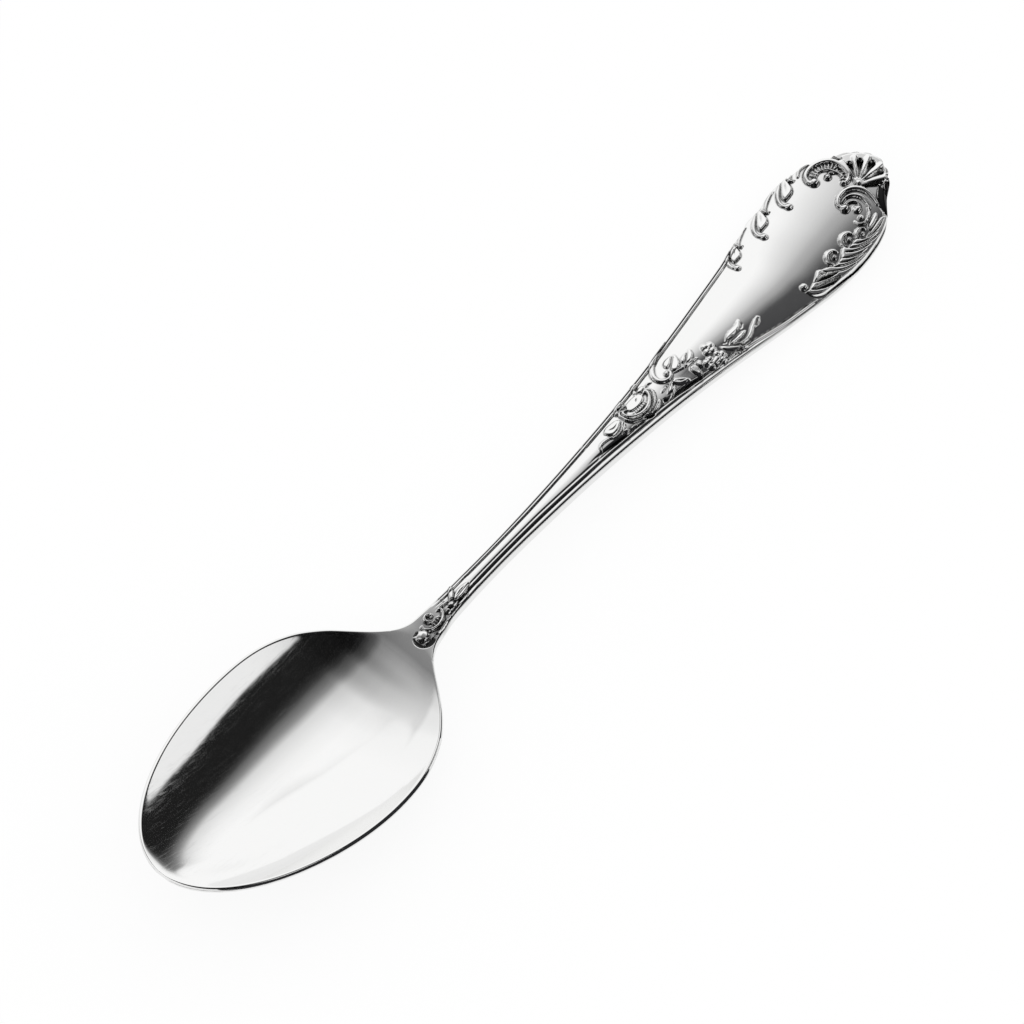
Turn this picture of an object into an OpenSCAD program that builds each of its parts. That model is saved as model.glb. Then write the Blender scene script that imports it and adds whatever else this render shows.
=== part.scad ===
// Dessert spoon, stamped in one piece, with rococo relief on the neck, stem and handle end.
// The spoon lies along X with the bowl's tip at the low end. Z is up, and the lowest point is at zero.
// The shapes below are drawn with X counted from the bowl's tip. The last step moves the middle to zero.

/* [Overall] */
// Length from the bowl's tip to the tip of the shell
spoon_length = 179; // [160:1:215]
// Height of the bowl's tip above its rim at the middle of the bowl
tip_rise = 5.5; // [3:0.5:8]
// Height of the bowl's rim at the middle of the bowl, before the spoon is set down
rim_height = 10; // [8:0.5:13]
// Height of the handle's edge just behind the neck
neck_height = 7.1; // [5.5:0.1:10]
// Height of the handle's edge where the handle end touches the table
heel_height = 1.9; // [1.9:0.1:3]
// Height of the turned-up edge at the shell
shell_height = 5.2; // [3:0.1:8]

/* [Bowl] */
// Length of the bowl, from its tip to the neck
bowl_length = 60; // [48:1:70]
// Width across the bowl's rim
bowl_width = 36; // [28:1:44]
// Place of the widest section, as a share of the bowl's length
bowl_belly = 0.55; // [0.48:0.01:0.6]
// Depth of the bowl below its rim
bowl_depth = 8.25; // [6:0.05:10]
// Thickness of the bowl's wall
bowl_wall = 1.15; // [0.9:0.05:1.8]
// Height of the rim's outer edge
rim_edge = 1.2; // [0.9:0.05:1.8]
// Width of the flat land on top of the rim
rim_land = 0.4; // [0.35:0.05:0.8]

/* [Handle] */
// Width of the stem at its narrowest
stem_width = 3.2; // [2.8:0.1:5]
// Height of the stem's side wall
stem_edge = 2; // [1.4:0.1:3]
// Width across the handle end
head_width = 20.2; // [16:0.2:26]
// Height of the handle end's side wall
head_edge = 1.15; // [0.9:0.05:1.8]
// Depth of the rounded underside below the side wall at the handle end
head_belly = 0.75; // [0.5:0.05:1.2]
// Rise of the centre panel in the middle of the handle end
head_crown = 0.75; // [0.3:0.05:1.2]
// Rise of the centre panel on the stem
stem_crown = 0.4; // [0.2:0.05:0.6]
// Width of the thread border along each edge
border_width = 1.05; // [0.8:0.05:1.5]
// Height of the thread above its groove
thread_height = 0.32; // [0.15:0.01:0.5]

/* [Relief] */
// Height of the leaves and scrolls above the panel
relief_height = 0.5; // [0.3:0.05:0.8]
// Radius of the volute knobs
knob_radius = 0.62; // [0.4:0.02:0.8]
// Place of the cartouche along a stem of the drawn length, from the neck
cartouche_from_neck = 54.5; // [50:0.5:58]
// Number of ribs in the large scroll
rib_count = 10; // [6:1:16]

/* [Hidden] */
steel = "silver";
edge_round = 0.3;
sink = 0.65;
// Sizes at which the relief is drawn. It is stretched along and across with the handle.
drawn_stem_span = 113;
drawn_stem_width = 3.2;
drawn_head_width = 20.2;

// Places along X that follow from the sizes above
neck_x = bowl_length;
belly_x = bowl_length * bowl_belly;
tip_x = spoon_length;
shell_reach = 5.3;
plate_end = tip_x - 0.7;
shoulder_x = plate_end - shell_reach;
border_start = neck_x + 4;
border_end = tip_x - 29;
heel_x = tip_x - 26;
stem_span = shoulder_x - neck_x;
along_stem = stem_span / drawn_stem_span;
cart_x = neck_x + cartouche_from_neck * along_stem;
across_neck = stem_width / drawn_stem_width;
across_head = head_width / drawn_head_width;
stem_half = stem_width / 2;
head_half = head_width / 2;

// Smooth curve through knots [x, value], with slopes taken from the neighbours
function slope(k, i) =
    i <= 0 ? (k[1][1] - k[0][1]) / (k[1][0] - k[0][0]) :
    i >= len(k) - 1 ? (k[i][1] - k[i - 1][1]) / (k[i][0] - k[i - 1][0]) :
    (k[i + 1][1] - k[i - 1][1]) / (k[i + 1][0] - k[i - 1][0]);
function span(k, x, i = 0) = i >= len(k) - 2 || x < k[i + 1][0] ? i : span(k, x, i + 1);
function hermite(a, b, ma, mb, t) =
    a * (1 + 2 * t) * (1 - t) * (1 - t) + ma * t * (1 - t) * (1 - t)
    + b * t * t * (3 - 2 * t) - mb * t * t * (1 - t);
function through(k, x) =
    let (i = span(k, x))
    let (run = k[i + 1][0] - k[i][0])
    let (t = min(1, max(0, (x - k[i][0]) / run)))
    hermite(k[i][1], k[i + 1][1], slope(k, i) * run, slope(k, i + 1) * run, t);
function ease(a, b, x) =
    let (t = min(1, max(0, (x - a) / (b - a))))
    t * t * (3 - 2 * t);

// Half width behind the bowl's widest section: round to the neck, narrow on the stem, broad at the head
bowl_half = bowl_width / 2;
rear = neck_x - belly_x;
outline = [
    [belly_x - 0.26 * rear, 0.966 * bowl_half],
    [belly_x, bowl_half],
    [belly_x + 0.26 * rear, 0.966 * bowl_half],
    [belly_x + 0.48 * rear, 0.85 * bowl_half],
    [belly_x + 0.63 * rear, 0.692 * bowl_half],
    [belly_x + 0.74 * rear, 0.525 * bowl_half],
    [belly_x + 0.852 * rear, 0.33 * bowl_half],
    [neck_x - 2, stem_half + 0.137 * bowl_half],
    [neck_x, stem_half + 0.076 * bowl_half],
    [neck_x + 2, stem_half + 0.052 * bowl_half],
    [neck_x + 6, stem_half + 0.02 * bowl_half],
    [neck_x + 12, stem_half + 0.05],
    [neck_x + 20, stem_half],
    [neck_x + stem_span * 0.27, stem_half + 0.032 * head_half],
    [neck_x + stem_span * 0.35, stem_half + 0.078 * head_half],
    [neck_x + stem_span * 0.44, stem_half + 0.152 * head_half],
    [neck_x + stem_span * 0.53, stem_half + 0.252 * head_half],
    [neck_x + stem_span * 0.62, stem_half + 0.386 * head_half],
    [neck_x + stem_span * 0.71, 0.705 * head_half],
    [tip_x - 29, 0.865 * head_half],
    [tip_x - 22, 0.972 * head_half],
    [tip_x - 16, head_half],
    [tip_x - 11, 0.93 * head_half],
    [tip_x - 8.2, 0.8 * head_half],
    [shoulder_x, 0.62 * head_half]];
panel_outline = [for (k = outline) [k[0], k[0] > tip_x - 20 ? head_half : k[1]]];
function half_width(x) =
    x < belly_x ? bowl_half * pow(1 - pow(1 - x / belly_x, 1.85), 0.5) : through(outline, x);
neck_half = half_width(neck_x + 6);

// Height of the edge line along the spoon, seen from the side
edge_line = [
    [0, rim_height + tip_rise],
    [bowl_length * 0.25, rim_height + tip_rise * 0.49],
    [bowl_length * 0.5, rim_height],
    [bowl_length * 0.75, rim_height - 1.6],
    [neck_x - 6, (rim_height + neck_height) / 2 - 1.5],
    [neck_x, neck_height - 0.7],
    [neck_x + 6, neck_height - 0.2],
    [neck_x + 12, neck_height],
    [neck_x + 30, neck_height - 0.135 * (neck_height - heel_height)],
    [neck_x + 50, neck_height - 0.346 * (neck_height - heel_height)],
    [tip_x - 49, neck_height - 0.606 * (neck_height - heel_height)],
    [tip_x - 34, heel_height + 0.55],
    [heel_x, heel_height],
    [tip_x - 18, heel_height + 0.17 * (shell_height - heel_height)],
    [tip_x - 10, heel_height + 0.52 * (shell_height - heel_height)],
    [tip_x, shell_height]];

// Hollow of the bowl below its rim
function hollow(x, y) =
    x > neck_x + 6 ? 0 :
    let (w = half_width(x) - rim_land)
    let (room = (w * w - y * y) * (1 - pow(neck_half / max(w, neck_half), 2)))
    let (full = pow(bowl_half - rim_land, 2))
    bowl_depth * pow(max(0, room / full), 0.9);

// Centre panel with a thread border on both edges
function border(x) = min(border_width, 0.58 * half_width(x));
function crown(x) =
    through([[neck_x, 0.1], [neck_x + 12, stem_crown], [neck_x + 40, stem_crown + 0.12],
             [tip_x - 49, head_crown * 0.95], [tip_x - 20, head_crown], [tip_x - 9, head_crown * 0.6],
             [tip_x, 0.05]], x) * ease(neck_x - 4, neck_x + 4, x);
function thread(x) =
    thread_height * ease(border_start, border_start + 3, x) * (1 - ease(border_end, border_end + 2, x));
function panel(x, y) =
    let (w = through(panel_outline, x))
    let (p = x > neck_x + 12 ? w - border(x) * (1 - ease(border_end, border_end + 4, x)) : half_width(x))
    crown(x) * (1 - pow(min(1, abs(y) / p), 2));
// Height of the thread profile at a distance in from the edge
thread_profile = [[0, 0], [0.4, 0.5], [0.8, -0.5], [1, 0]];
function thread_rise(x, y) =
    let (d = (half_width(x) - abs(y)) / border(x))
    d < 0 || d > 1 ? 0 : thread(x) * lookup(d, thread_profile);
function top_z(x, y) =
    through(edge_line, min(x, tip_x)) - hollow(x, y) + panel(x, y)
    + (x < shoulder_x ? thread_rise(x, y) : 0);

// Underside: an even wall under the bowl, a rounded back under the handle
function edge_height(x) =
    through([[0, rim_edge], [bowl_length * 0.8, rim_edge], [neck_x + 4, stem_edge], [neck_x + 40, stem_edge],
             [tip_x - 32, head_edge], [tip_x, head_edge]], x);
function steepness(x, y) =
    let (a = 0.3)
    let (sx = (hollow(x + a, y) - hollow(x - a, y)) / (2 * a))
    let (sy = (hollow(x, abs(y)) - hollow(x, abs(y) - a)) / a)
    sqrt(1 + sx * sx + sy * sy);
function back_belly(x) =
    through([[neck_x - 8, 0], [neck_x + 2, 0.9], [neck_x + 12, 0.7], [neck_x + 60, 0.7],
             [tip_x - 32, head_belly], [tip_x - 10, head_belly], [tip_x, 0.1]], x);
function under_z(x, y) =
    let (w = half_width(min(x, shoulder_x)))
    let (t = min(1, abs(y) / w))
    let (bowl_back = top_z(x, y) - bowl_wall * steepness(min(x, neck_x), y))
    let (handle_back = through(edge_line, x) - edge_height(x)
                       - back_belly(x) * (1 - pow(t, 2.5)))
    let (m = ease(neck_x - 14, neck_x - 2, x))
    bowl_back * (1 - m) + handle_back * m;

// Sections follow each other along X. At the shell they bow outwards, and the last one is its outline.
bowl_steps = 12;
bowl_stations = [for (i = [0 : bowl_steps]) belly_x * (1 - cos(4 + 86 * i / bowl_steps))];
function even(a, b, n) = [for (i = [1 : n]) a + (b - a) * i / n];
straight_end = tip_x - 11;
stations = concat(
    bowl_stations,
    even(belly_x, neck_x, 11),
    even(neck_x, neck_x + 12, 6),
    even(neck_x + 12, neck_x + 42, 5),
    even(neck_x + 42, tip_x - 30, 8),
    even(tip_x - 30, straight_end, 7));
head_steps = 4;
head_stations = [for (i = [1 : head_steps]) i / head_steps];

// Places across a section: the rim's land and shares of the half width in the bowl,
// steps in from the edge and shares of the panel on the handle
hollow_shares = [0.93, 0.83, 0.68, 0.48, 0.25];
border_steps = [0.4, 0.8, 1];
panel_shares = [0.75, 0.5, 0.25];
under_shares = [0.88, 0.6, 0.3];
function handle_places(x) =
    let (w = half_width(x) - edge_round)
    let (b = border(x) - edge_round)
    concat([for (s = border_steps) w - b * s], [for (s = panel_shares) (w - b) * s]);
function top_places(x) =
    let (w = half_width(x) - edge_round)
    let (m = ease(neck_x, neck_x + 5, x))
    let (land = w + edge_round - rim_land)
    let (bowl = concat([land], [for (s = hollow_shares) land * s]))
    concat([w], bowl * (1 - m) + handle_places(x) * m, [0]);
function mirrored(list) = concat(list, [for (i = [len(list) - 2 : -1 : 0]) -list[i]]);

// One closed loop of points: top from +Y to -Y, then the side wall, the underside and the other side wall
function loop_points(x, bow) =
    let (w = half_width(x))
    let (across = mirrored(top_places(x)))
    let (flat = w - edge_round)
    let (below = mirrored(concat([flat], [for (s = under_shares) flat * s], [0])))
    let (rim = through(edge_line, x))
    concat(
        [for (y = across) let (bx = x + bow * (1 - pow(y / w, 2))) [bx, y, top_z(bx, y)]],
        [[x, -w, rim - edge_round], [x, -w, rim - edge_height(x) + edge_round]],
        [for (y = below) let (bx = x + bow * (1 - pow(y / w, 2))) [bx, -y, under_z(bx, -y)]],
        [[x, w, rim - edge_height(x) + edge_round], [x, w, rim - edge_round]]);
function head_x(s) = straight_end + (shoulder_x - straight_end) * s;
loops = concat(
    [for (x = stations) loop_points(x, 0)],
    [for (s = head_stations) loop_points(head_x(s), shell_reach * s)]);

// Skin over loops of equally many points, of which the first ones are the upper half.
// Each end is closed by a strip between its upper and its lower half.
function zip(a, b) =
    let (m = len(a) - 1)
    let (n = len(b) - 1)
    [for (i = 0, j = 0; i + j < m + n;
          up = (i + 1) * n <= (j + 1) * m, i = up ? i + 1 : i, j = up ? j : j + 1)
        (i + 1) * n <= (j + 1) * m ? [a[i], a[i + 1], b[j]] : [a[i], b[j + 1], b[j]]];
module skin(rings, upper) {
    n = len(rings[0]);
    last = len(rings) - 1;
    sides = [for (i = [0 : last - 1], j = [0 : n - 1])
        let (k = (j + 1) % n)
        each [[i * n + j, (i + 1) * n + k, i * n + k], [i * n + j, (i + 1) * n + j, (i + 1) * n + k]]];
    above = [for (j = [-1 : upper]) (j + n) % n];
    below = [for (j = [n - 2 : -1 : upper + 1]) j];
    start = zip(above, below);
    finish = [for (f = start) [f[0] + last * n, f[2] + last * n, f[1] + last * n]];
    polyhedron(points = [for (r = rings) each r], faces = concat(sides, start, finish));
}

upper_points = 2 * len(top_places(neck_x)) - 1;
module blank() {
    skin(loops, upper_points);
}

// Groups of relief keep their own origin: the neck, the cartouche on the stem, and the tip of the shell
function at_neck(points) = [for (p = points) [neck_x + p[0], p[1] * across_neck]];
function at_cartouche(points) = [for (p = points) [cart_x + p[0] * along_stem, p[1] * across_head]];
function at_head(points) = [for (p = points) [tip_x + p[0], p[1] * across_head]];

// Smooth curve through a few points of the plan
function beyond(pts, i) =
    i < 0 ? 2 * pts[0] - pts[1] :
    i >= len(pts) ? 2 * pts[len(pts) - 1] - pts[len(pts) - 2] : pts[i];
function glide(a, b, c, d, t) =
    0.5 * (2 * b + (c - a) * t + (2 * a - 5 * b + 4 * c - d) * t * t + (3 * b - a - 3 * c + d) * t * t * t);
function curve(pts, steps) = concat(
    [for (i = [0 : len(pts) - 2], k = [0 : steps - 1])
        glide(beyond(pts, i - 1), pts[i], pts[i + 1], beyond(pts, i + 2), k / steps)],
    [pts[len(pts) - 1]]);

// A stroke of relief swept along a path: a round cord, or a leaf with raised edges and a sunk vein.
// Its width and height swell from the start to the middle and fall to the end.
CORD = [[1, -1], [0.5, 1], [-0.5, 1], [-1, -1]];
LEAF = [[1, -1], [0.6, 1], [0, 0.6], [-0.6, 1], [-1, -1]];
VEIN = [[1, -1], [0, 1], [-1, -1]];
cord_swell = [0.6, 1, 0.45];
leaf_swell = [0.25, 1, 0.1];
function swell(s, t) = t < 0.5 ? s[0] + (s[1] - s[0]) * sin(180 * t) : s[2] + (s[1] - s[2]) * sin(180 * t);
function heading(path, i) =
    let (d = path[min(i + 1, len(path) - 1)] - path[max(i - 1, 0)])
    d / max(norm(d), 0.001);
module stroke(path, width, form = CORD, rise = 1) {
    last = len(path) - 1;
    height = relief_height * rise;
    rings = [for (i = [0 : last])
        let (h = heading(path, i))
        let (side = [-h[1], h[0]])
        let (f = swell(form == LEAF ? leaf_swell : cord_swell, i / last))
        let (z = top_z(path[i][0], path[i][1]))
        let (up = height * (0.3 + 0.7 * f))
        [for (k = form)
            let (q = path[i] + side * k[0] * width * f / 2)
            [q[0], q[1], z + (k[1] < 0 ? -sink : up * k[1])]]];
    skin(rings, max(0, len(form) - 3));
}
module strokes(rows) {
    for (row = rows) stroke(curve(row[0], row[2] == LEAF ? 2 : 1), row[1], row[2]);
}

// Round knob at the end of a volute
module knob(p, radius) {
    translate([p[0], p[1], top_z(p[0], p[1])])
        hull() {
            translate([0, 0, -sink])
                cylinder(h = sink + relief_height * 0.45, r1 = radius, r2 = radius * 0.92, $fn = 8);
            cylinder(h = relief_height * 1.25, r = radius * 0.5, $fn = 8);
        }
}
module knobs(points, radius) {
    for (p = points) knob(p, radius);
}

// Short ribs across a scroll
module rib(a, b) {
    stroke([a, b], 0.34, VEIN, 0.7);
}

// Scroll over the bowl's end of the stem, with a bud, beads and a leaf in three parts
module neck_relief() {
    strokes([
        [at_neck([[-1.8, -0.9], [-0.6, -0.65], [0.5, -0.4]]), 1.7, LEAF],
        [at_neck([[0.7, 0.5], [1.1, -0.4], [2.1, -1.05], [3.4, -1.05], [4.4, -0.6], [5, 0],
                  [4.6, 0.5]]), 0.42, VEIN],
        [at_neck([[2.2, 1.2], [1.9, 0.7], [2.3, 0.1], [3.1, 0], [3.8, 0.5]]), 0.36, VEIN],
        [at_neck([[5.1, 0.5], [6, 0.4], [7, 0]]), 0.36, VEIN],
        [at_neck([[6.6, 0.4], [7.6, 1], [8.4, 1.75]]), 0.7, VEIN],
        [at_neck([[6.8, -0.1], [9, -0.15], [11.2, -0.2]]), 0.9, LEAF],
        [at_neck([[7.3, 0.3], [8.6, 0.75], [9.9, 0.6]]), 0.5, VEIN],
        [at_neck([[7.1, -0.7], [8.6, -1.05], [10.2, -0.85]]), 0.5, VEIN],
        [at_neck([[1.2, -1.5], [2.4, -1.75], [3.7, -1.85]]), 0.5, VEIN],
        [at_neck([[4.3, -1.5], [5.5, -1.3], [6.7, -1.1]]), 0.45, VEIN]]);
    knobs(at_neck([[3.1, 1.4], [5.3, -0.75], [4.4, 0.95]]), knob_radius * 0.62);
    for (x = [1.7 : 0.7 : 3.1])
        rib(at_neck([[x, -0.25]])[0], at_neck([[x, -0.85]])[0]);
}

// Cartouche on the stem: a ribbed scroll that lies like a smile, with leaves round it
module cartouche() {
    strokes([
        [at_cartouche([[-1.8, 1.35], [-2.4, 1.65], [-2.95, 1], [-2.8, 0], [-1.9, -0.8], [-0.4, -1.1],
                       [1.3, -0.95], [2.6, -0.2], [3.25, 0.8], [2.9, 1.6], [2.3, 1.4]]), 0.52, VEIN],
        [at_cartouche([[3.9, 0.9], [3.5, -0.2], [2.5, -1.1], [1.1, -1.6], [-0.5, -1.65]]), 0.42, VEIN],
        [at_cartouche([[-2, 0.4], [-1.2, 0], [0.2, -0.05], [1.4, 0.2], [1.95, 0.6]]), 0.32, VEIN],
        [at_cartouche([[-3.6, 2.1], [-2.6, 2.85], [-1, 3.15]]), 1.05, LEAF],
        [at_cartouche([[1.6, 1.9], [2.1, 2.8], [2.9, 3.6]]), 0.9, LEAF],
        [at_cartouche([[0.4, 1], [0.8, 1.3], [1.2, 1.4]]), 0.36, VEIN],
        [at_cartouche([[4, 1.9], [4.6, 2.1], [5.1, 1.8]]), 0.34, VEIN],
        [at_cartouche([[-7.9, 0.35], [-6.1, 0.45], [-4.2, 1.1]]), 1.7, LEAF],
        [at_cartouche([[-10.4, -0.7], [-10.2, 0], [-9.3, 0.3], [-8.3, 0.1], [-7.5, -0.25]]), 0.45, VEIN],
        [at_cartouche([[-3.5, -1.45], [-2.1, -1.75], [-0.7, -2.05]]), 0.75, LEAF],
        [at_cartouche([[0.6, -2.3], [1.8, -2.1], [2.9, -1.6]]), 0.6, VEIN]]);
    knobs(at_cartouche([[-4.8, -1.35], [-1.7, 1.2], [2.2, 1.25]]), knob_radius * 0.6);
    for (x = [-1.3 : 0.7 : 1.5])
        rib(at_cartouche([[x, 0]])[0], at_cartouche([[x, -0.75]])[0]);
}

// Blossom of round petals about a centre bead
module blossom(p, size, turn) {
    knob(p, 0.42 * size);
    for (k = [0 : 4])
        let (a = turn + 72 * k)
        let (q = p + 0.72 * size * [cos(a), sin(a)])
        translate([q[0], q[1], top_z(q[0], q[1]) - sink])
            cylinder(h = sink + relief_height, r1 = 0.52 * size, r2 = 0.26 * size, $fn = 6);
}

// Large scroll that springs from the border, and the garland that hangs from it
module garland() {
    strokes([
        [at_cartouche([[10.2, 4.9], [8.5, 4.15], [7, 3.1], [6.25, 1.9], [6.2, 0.9], [6.6, 0.1], [7.5, -0.15],
                       [8.4, 0.15], [8.4, 0.8]]), 0.95, CORD],
        [at_cartouche([[9, 1.1], [10.6, 1.2], [12.2, 2.5]]), 1.7, LEAF],
        [at_cartouche([[11.5, -0.35], [13, 0], [14.6, 1.2]]), 1.15, LEAF],
        [at_cartouche([[7.5, -1.1], [6.3, -1.7], [5, -2.4]]), 0.8, LEAF],
        [at_cartouche([[7.5, -1], [8.5, -1.95], [9.9, -2.6]]), 0.9, LEAF],
        [at_cartouche([[8.8, -0.4], [10.3, -0.65], [12, -1], [13.8, -1.4]]), 0.4, VEIN],
        [at_cartouche([[11.9, -1.3], [11.7, -2.5], [12.1, -3.9]]), 1, LEAF],
        [at_cartouche([[12.7, -1.5], [13.1, -2.2], [13.7, -2.8]]), 0.7, VEIN],
        [at_cartouche([[17.4, -4.9], [18.8, -5], [20.3, -5.6]]), 0.6, VEIN],
        [at_cartouche([[18.2, -2.7], [19.9, -4.3], [21.5, -6.2]]), 1, LEAF],
        [at_cartouche([[19.5, -2.6], [21.9, -2.2], [24.4, -1.35]]), 1.2, LEAF],
        [at_cartouche([[19.3, -3.4], [20.7, -3.9], [22.1, -4.5], [23.5, -4.35], [25.3, -3.6],
                       [27.2, -3.2]]), 0.5, VEIN],
        [at_cartouche([[25, -4.05], [26.2, -4.1], [27.4, -3.6]]), 0.5, VEIN],
        [at_cartouche([[19.5, -3.1], [21.4, -3.2], [23.6, -3.9]]), 0.45, VEIN]]);
    knobs(at_cartouche([[8, 0.7]]), knob_radius * 0.7);
    blossom(at_cartouche([[16.5, -1.6]])[0], 1.05, 20);
    blossom(at_cartouche([[14.8, -3.3]])[0], 0.9, 50);
    blossom(at_cartouche([[16.7, -3.8]])[0], 0.9, 0);
}

// One unit of the upper border: a hooked knob, a curled leaf and the small hook behind it
module border_unit(p, size) {
    function put(points) = at_head([for (q = points) p + q * size]);
    strokes([
        [put([[0.1, -0.2], [-0.45, 0.7], [-0.15, 1.5], [0.7, 2.15], [1.6, 2.6]]), 0.5 * size, VEIN],
        [put([[0.4, 0.85], [1.25, 1.35], [2.3, 1.9], [3.1, 2.5], [3.8, 3.2]]), 1.6 * size, LEAF],
        [put([[4.1, 3.1], [4.25, 2.1], [4.9, 1.8]]), 0.4 * size, VEIN]]);
    knob(put([[0, 0]])[0], knob_radius * size);
}
module upper_border() {
    border_unit([-31, 5.7], 1);
    border_unit([-23.4, 6.1], 1.02);
    border_unit([-16.3, 6.3], 1.08);
    strokes([
        [at_head([[-26.2, 8.8], [-24.9, 9.3], [-23, 9.75], [-21.7, 9.7]]), 0.45, VEIN],
        [at_head([[-19, 9.3], [-17.8, 9.7], [-16.2, 10], [-14.9, 9.8]]), 0.45, VEIN]]);
}

// Large ribbed scroll beside the shell
module ribbed_scroll() {
    strokes([
        [at_head([[-10.4, 5.1], [-10.9, 6.3], [-10.3, 7.4], [-9, 7.95], [-7.5, 7.8], [-6.1, 6.9], [-5.3, 5.5],
                  [-5.1, 4], [-5.4, 2.6], [-6.1, 1.6], [-7, 1.3], [-7.7, 1.7]]), 0.95, CORD],
        [at_head([[-9.5, 5.3], [-8.8, 5.9], [-7.8, 5.8], [-7, 5], [-6.75, 3.9], [-6.8, 2.9],
                  [-7.2, 2.1]]), 0.42, VEIN],
        [at_head([[-6.9, 3.5], [-7.1, 4.3], [-7.6, 4.75], [-8.1, 4.4]]), 0.36, VEIN]]);
    knobs(at_head([[-10.3, 5.5]]), knob_radius * 1.1);
    knobs(at_head([[-8.1, 4.3]]), knob_radius * 0.7);
    heart = [-8.6, 4.1];
    for (i = [0 : rib_count - 1])
        let (a = 103 - 160 * i / (rib_count - 1))
        rib(at_head([heart + 2.2 * [cos(a), sin(a)]])[0], at_head([heart + 3.1 * [cos(a), sin(a)]])[0]);
}

// Open scroll of acanthus veins below the ribbed scroll
module veined_scroll() {
    strokes([
        [at_head([[-11.9, -0.4], [-11.2, 0.6], [-9.7, 1.05], [-8.1, 0.6], [-7, -0.6], [-6.5, -2.2],
                  [-6.6, -3.8]]), 0.9, CORD],
        [at_head([[-10.8, -0.35], [-9.6, -0.1], [-8.4, -0.7], [-7.7, -2], [-7.6, -3.4], [-8, -4.8],
                  [-8.4, -5.6]]), 0.6, CORD],
        [at_head([[-9.9, -0.9], [-8.9, -1.3], [-8.4, -2.4], [-8.5, -3.6], [-9.1, -4.4]]), 0.5, VEIN],
        [at_head([[-9.2, -1.7], [-8.95, -2.7], [-9.5, -3.6], [-10.5, -3.75], [-11.05, -3.1]]), 0.45, VEIN],
        [at_head([[-11.8, -4.1], [-12.1, -5], [-11.6, -5.7], [-10.4, -5.7], [-9.2, -5.1]]), 0.5, VEIN],
        [at_head([[-11.9, -7], [-10.4, -6.6], [-9, -6.3]]), 0.9, LEAF],
        [at_head([[-6.2, -3.6], [-6.7, -5], [-7.5, -6.4], [-8.5, -7.5]]), 0.85, LEAF],
        [at_head([[-5.6, -5], [-6.6, -6.2], [-7.6, -7.2]]), 0.6, VEIN]]);
    knobs(at_head([[-11.3, -1.3]]), knob_radius * 1.05);
    knobs(at_head([[-10.1, -2.9], [-11, -4.6]]), knob_radius * 0.68);
}

// Fringe of acanthus blades along the lower edge, each a volute whose ribs sweep back to the edge
module blade(p, drop, size) {
    function put(points) = at_head([for (q = points) p + [q[0] * size, q[1] * drop]]);
    strokes([
        [put([[-0.9, 0.4], [-1.3, -0.4], [-0.7, -1.7], [0.6, -2.7], [2.6, -3.4], [4.8, -3.7]]), 0.6, CORD],
        [put([[-0.5, -0.6], [0.2, -1.75], [1.6, -2.6], [3.6, -3.1]]), 0.5, VEIN]]);
    knob(put([[0, 0]])[0], knob_radius * 1.05 * size);
}
module lower_fringe() {
    strokes([
        [at_head([[-27, -6.6], [-25.5, -6.95], [-23.5, -7.4], [-21.4, -8.2]]), 1.4, LEAF],
        [at_head([[-27.7, -6.2], [-27.1, -7.5], [-25.7, -8.25], [-23.5, -8.7], [-21, -9.1]]), 0.5, VEIN],
        [at_head([[-22.9, -5.9], [-22.6, -6.9], [-21.4, -8.1], [-19.6, -8.9], [-17.2, -9.4]]), 0.5, VEIN],
        [at_head([[-19.2, -6.8], [-18.1, -6.7], [-17.2, -6]]), 0.6, VEIN]]);
    knobs(at_head([[-27.1, -5.5], [-22.6, -5.9]]), knob_radius * 0.9);
    blade([-19.6, -5.5], 1, 1);
    blade([-15.5, -5.5], 0.92, 1);
    blade([-13.2, -6.7], 0.38, 0.9);
}

// Shell that ends the handle: flutes that widen from the heart to round lobes
module shell() {
    heart = [-6.1, -0.4];
    lobes = [[74, 5.7, 0.7], [50, 5.3, 0.9], [24, 4.8, 0.95], [-5, 5.15, 0.95], [-40, 3.5, 0.85],
             [-72, 4, 0.8]];
    for (l = lobes)
        let (a = at_head([heart + 0.9 * [cos(l[0]), sin(l[0])]])[0])
        let (b = at_head([heart + l[1] * [cos(l[0]), sin(l[0])]])[0])
        hull() {
            translate([a[0], a[1], top_z(a[0], a[1]) - sink]) cylinder(h = sink + 0.3, r = 0.28, $fn = 5);
            translate([b[0], b[1], top_z(b[0], b[1]) - sink]) cylinder(h = sink, r = l[2], $fn = 10);
            translate([b[0], b[1], top_z(b[0], b[1])]) cylinder(h = relief_height, r = l[2] * 0.55, $fn = 5);
        }
    knobs(at_head([heart]), knob_radius * 0.8);
}

// Shift that puts the origin at the bottom centre
lowest = min([for (loop = loops, p = loop) p[2]]);
middle = (bowl_stations[0] + tip_x) / 2;
module spoon() {
    color(steel)
        translate([-middle, 0, -lowest])
            union() {
                blank();
                neck_relief();
                cartouche();
                garland();
                upper_border();
                ribbed_scroll();
                veined_scroll();
                lower_fringe();
                shell();
            }
}

spoon();
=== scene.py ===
import math
import bpy
import numpy as np
from mathutils import Matrix, Vector


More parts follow.
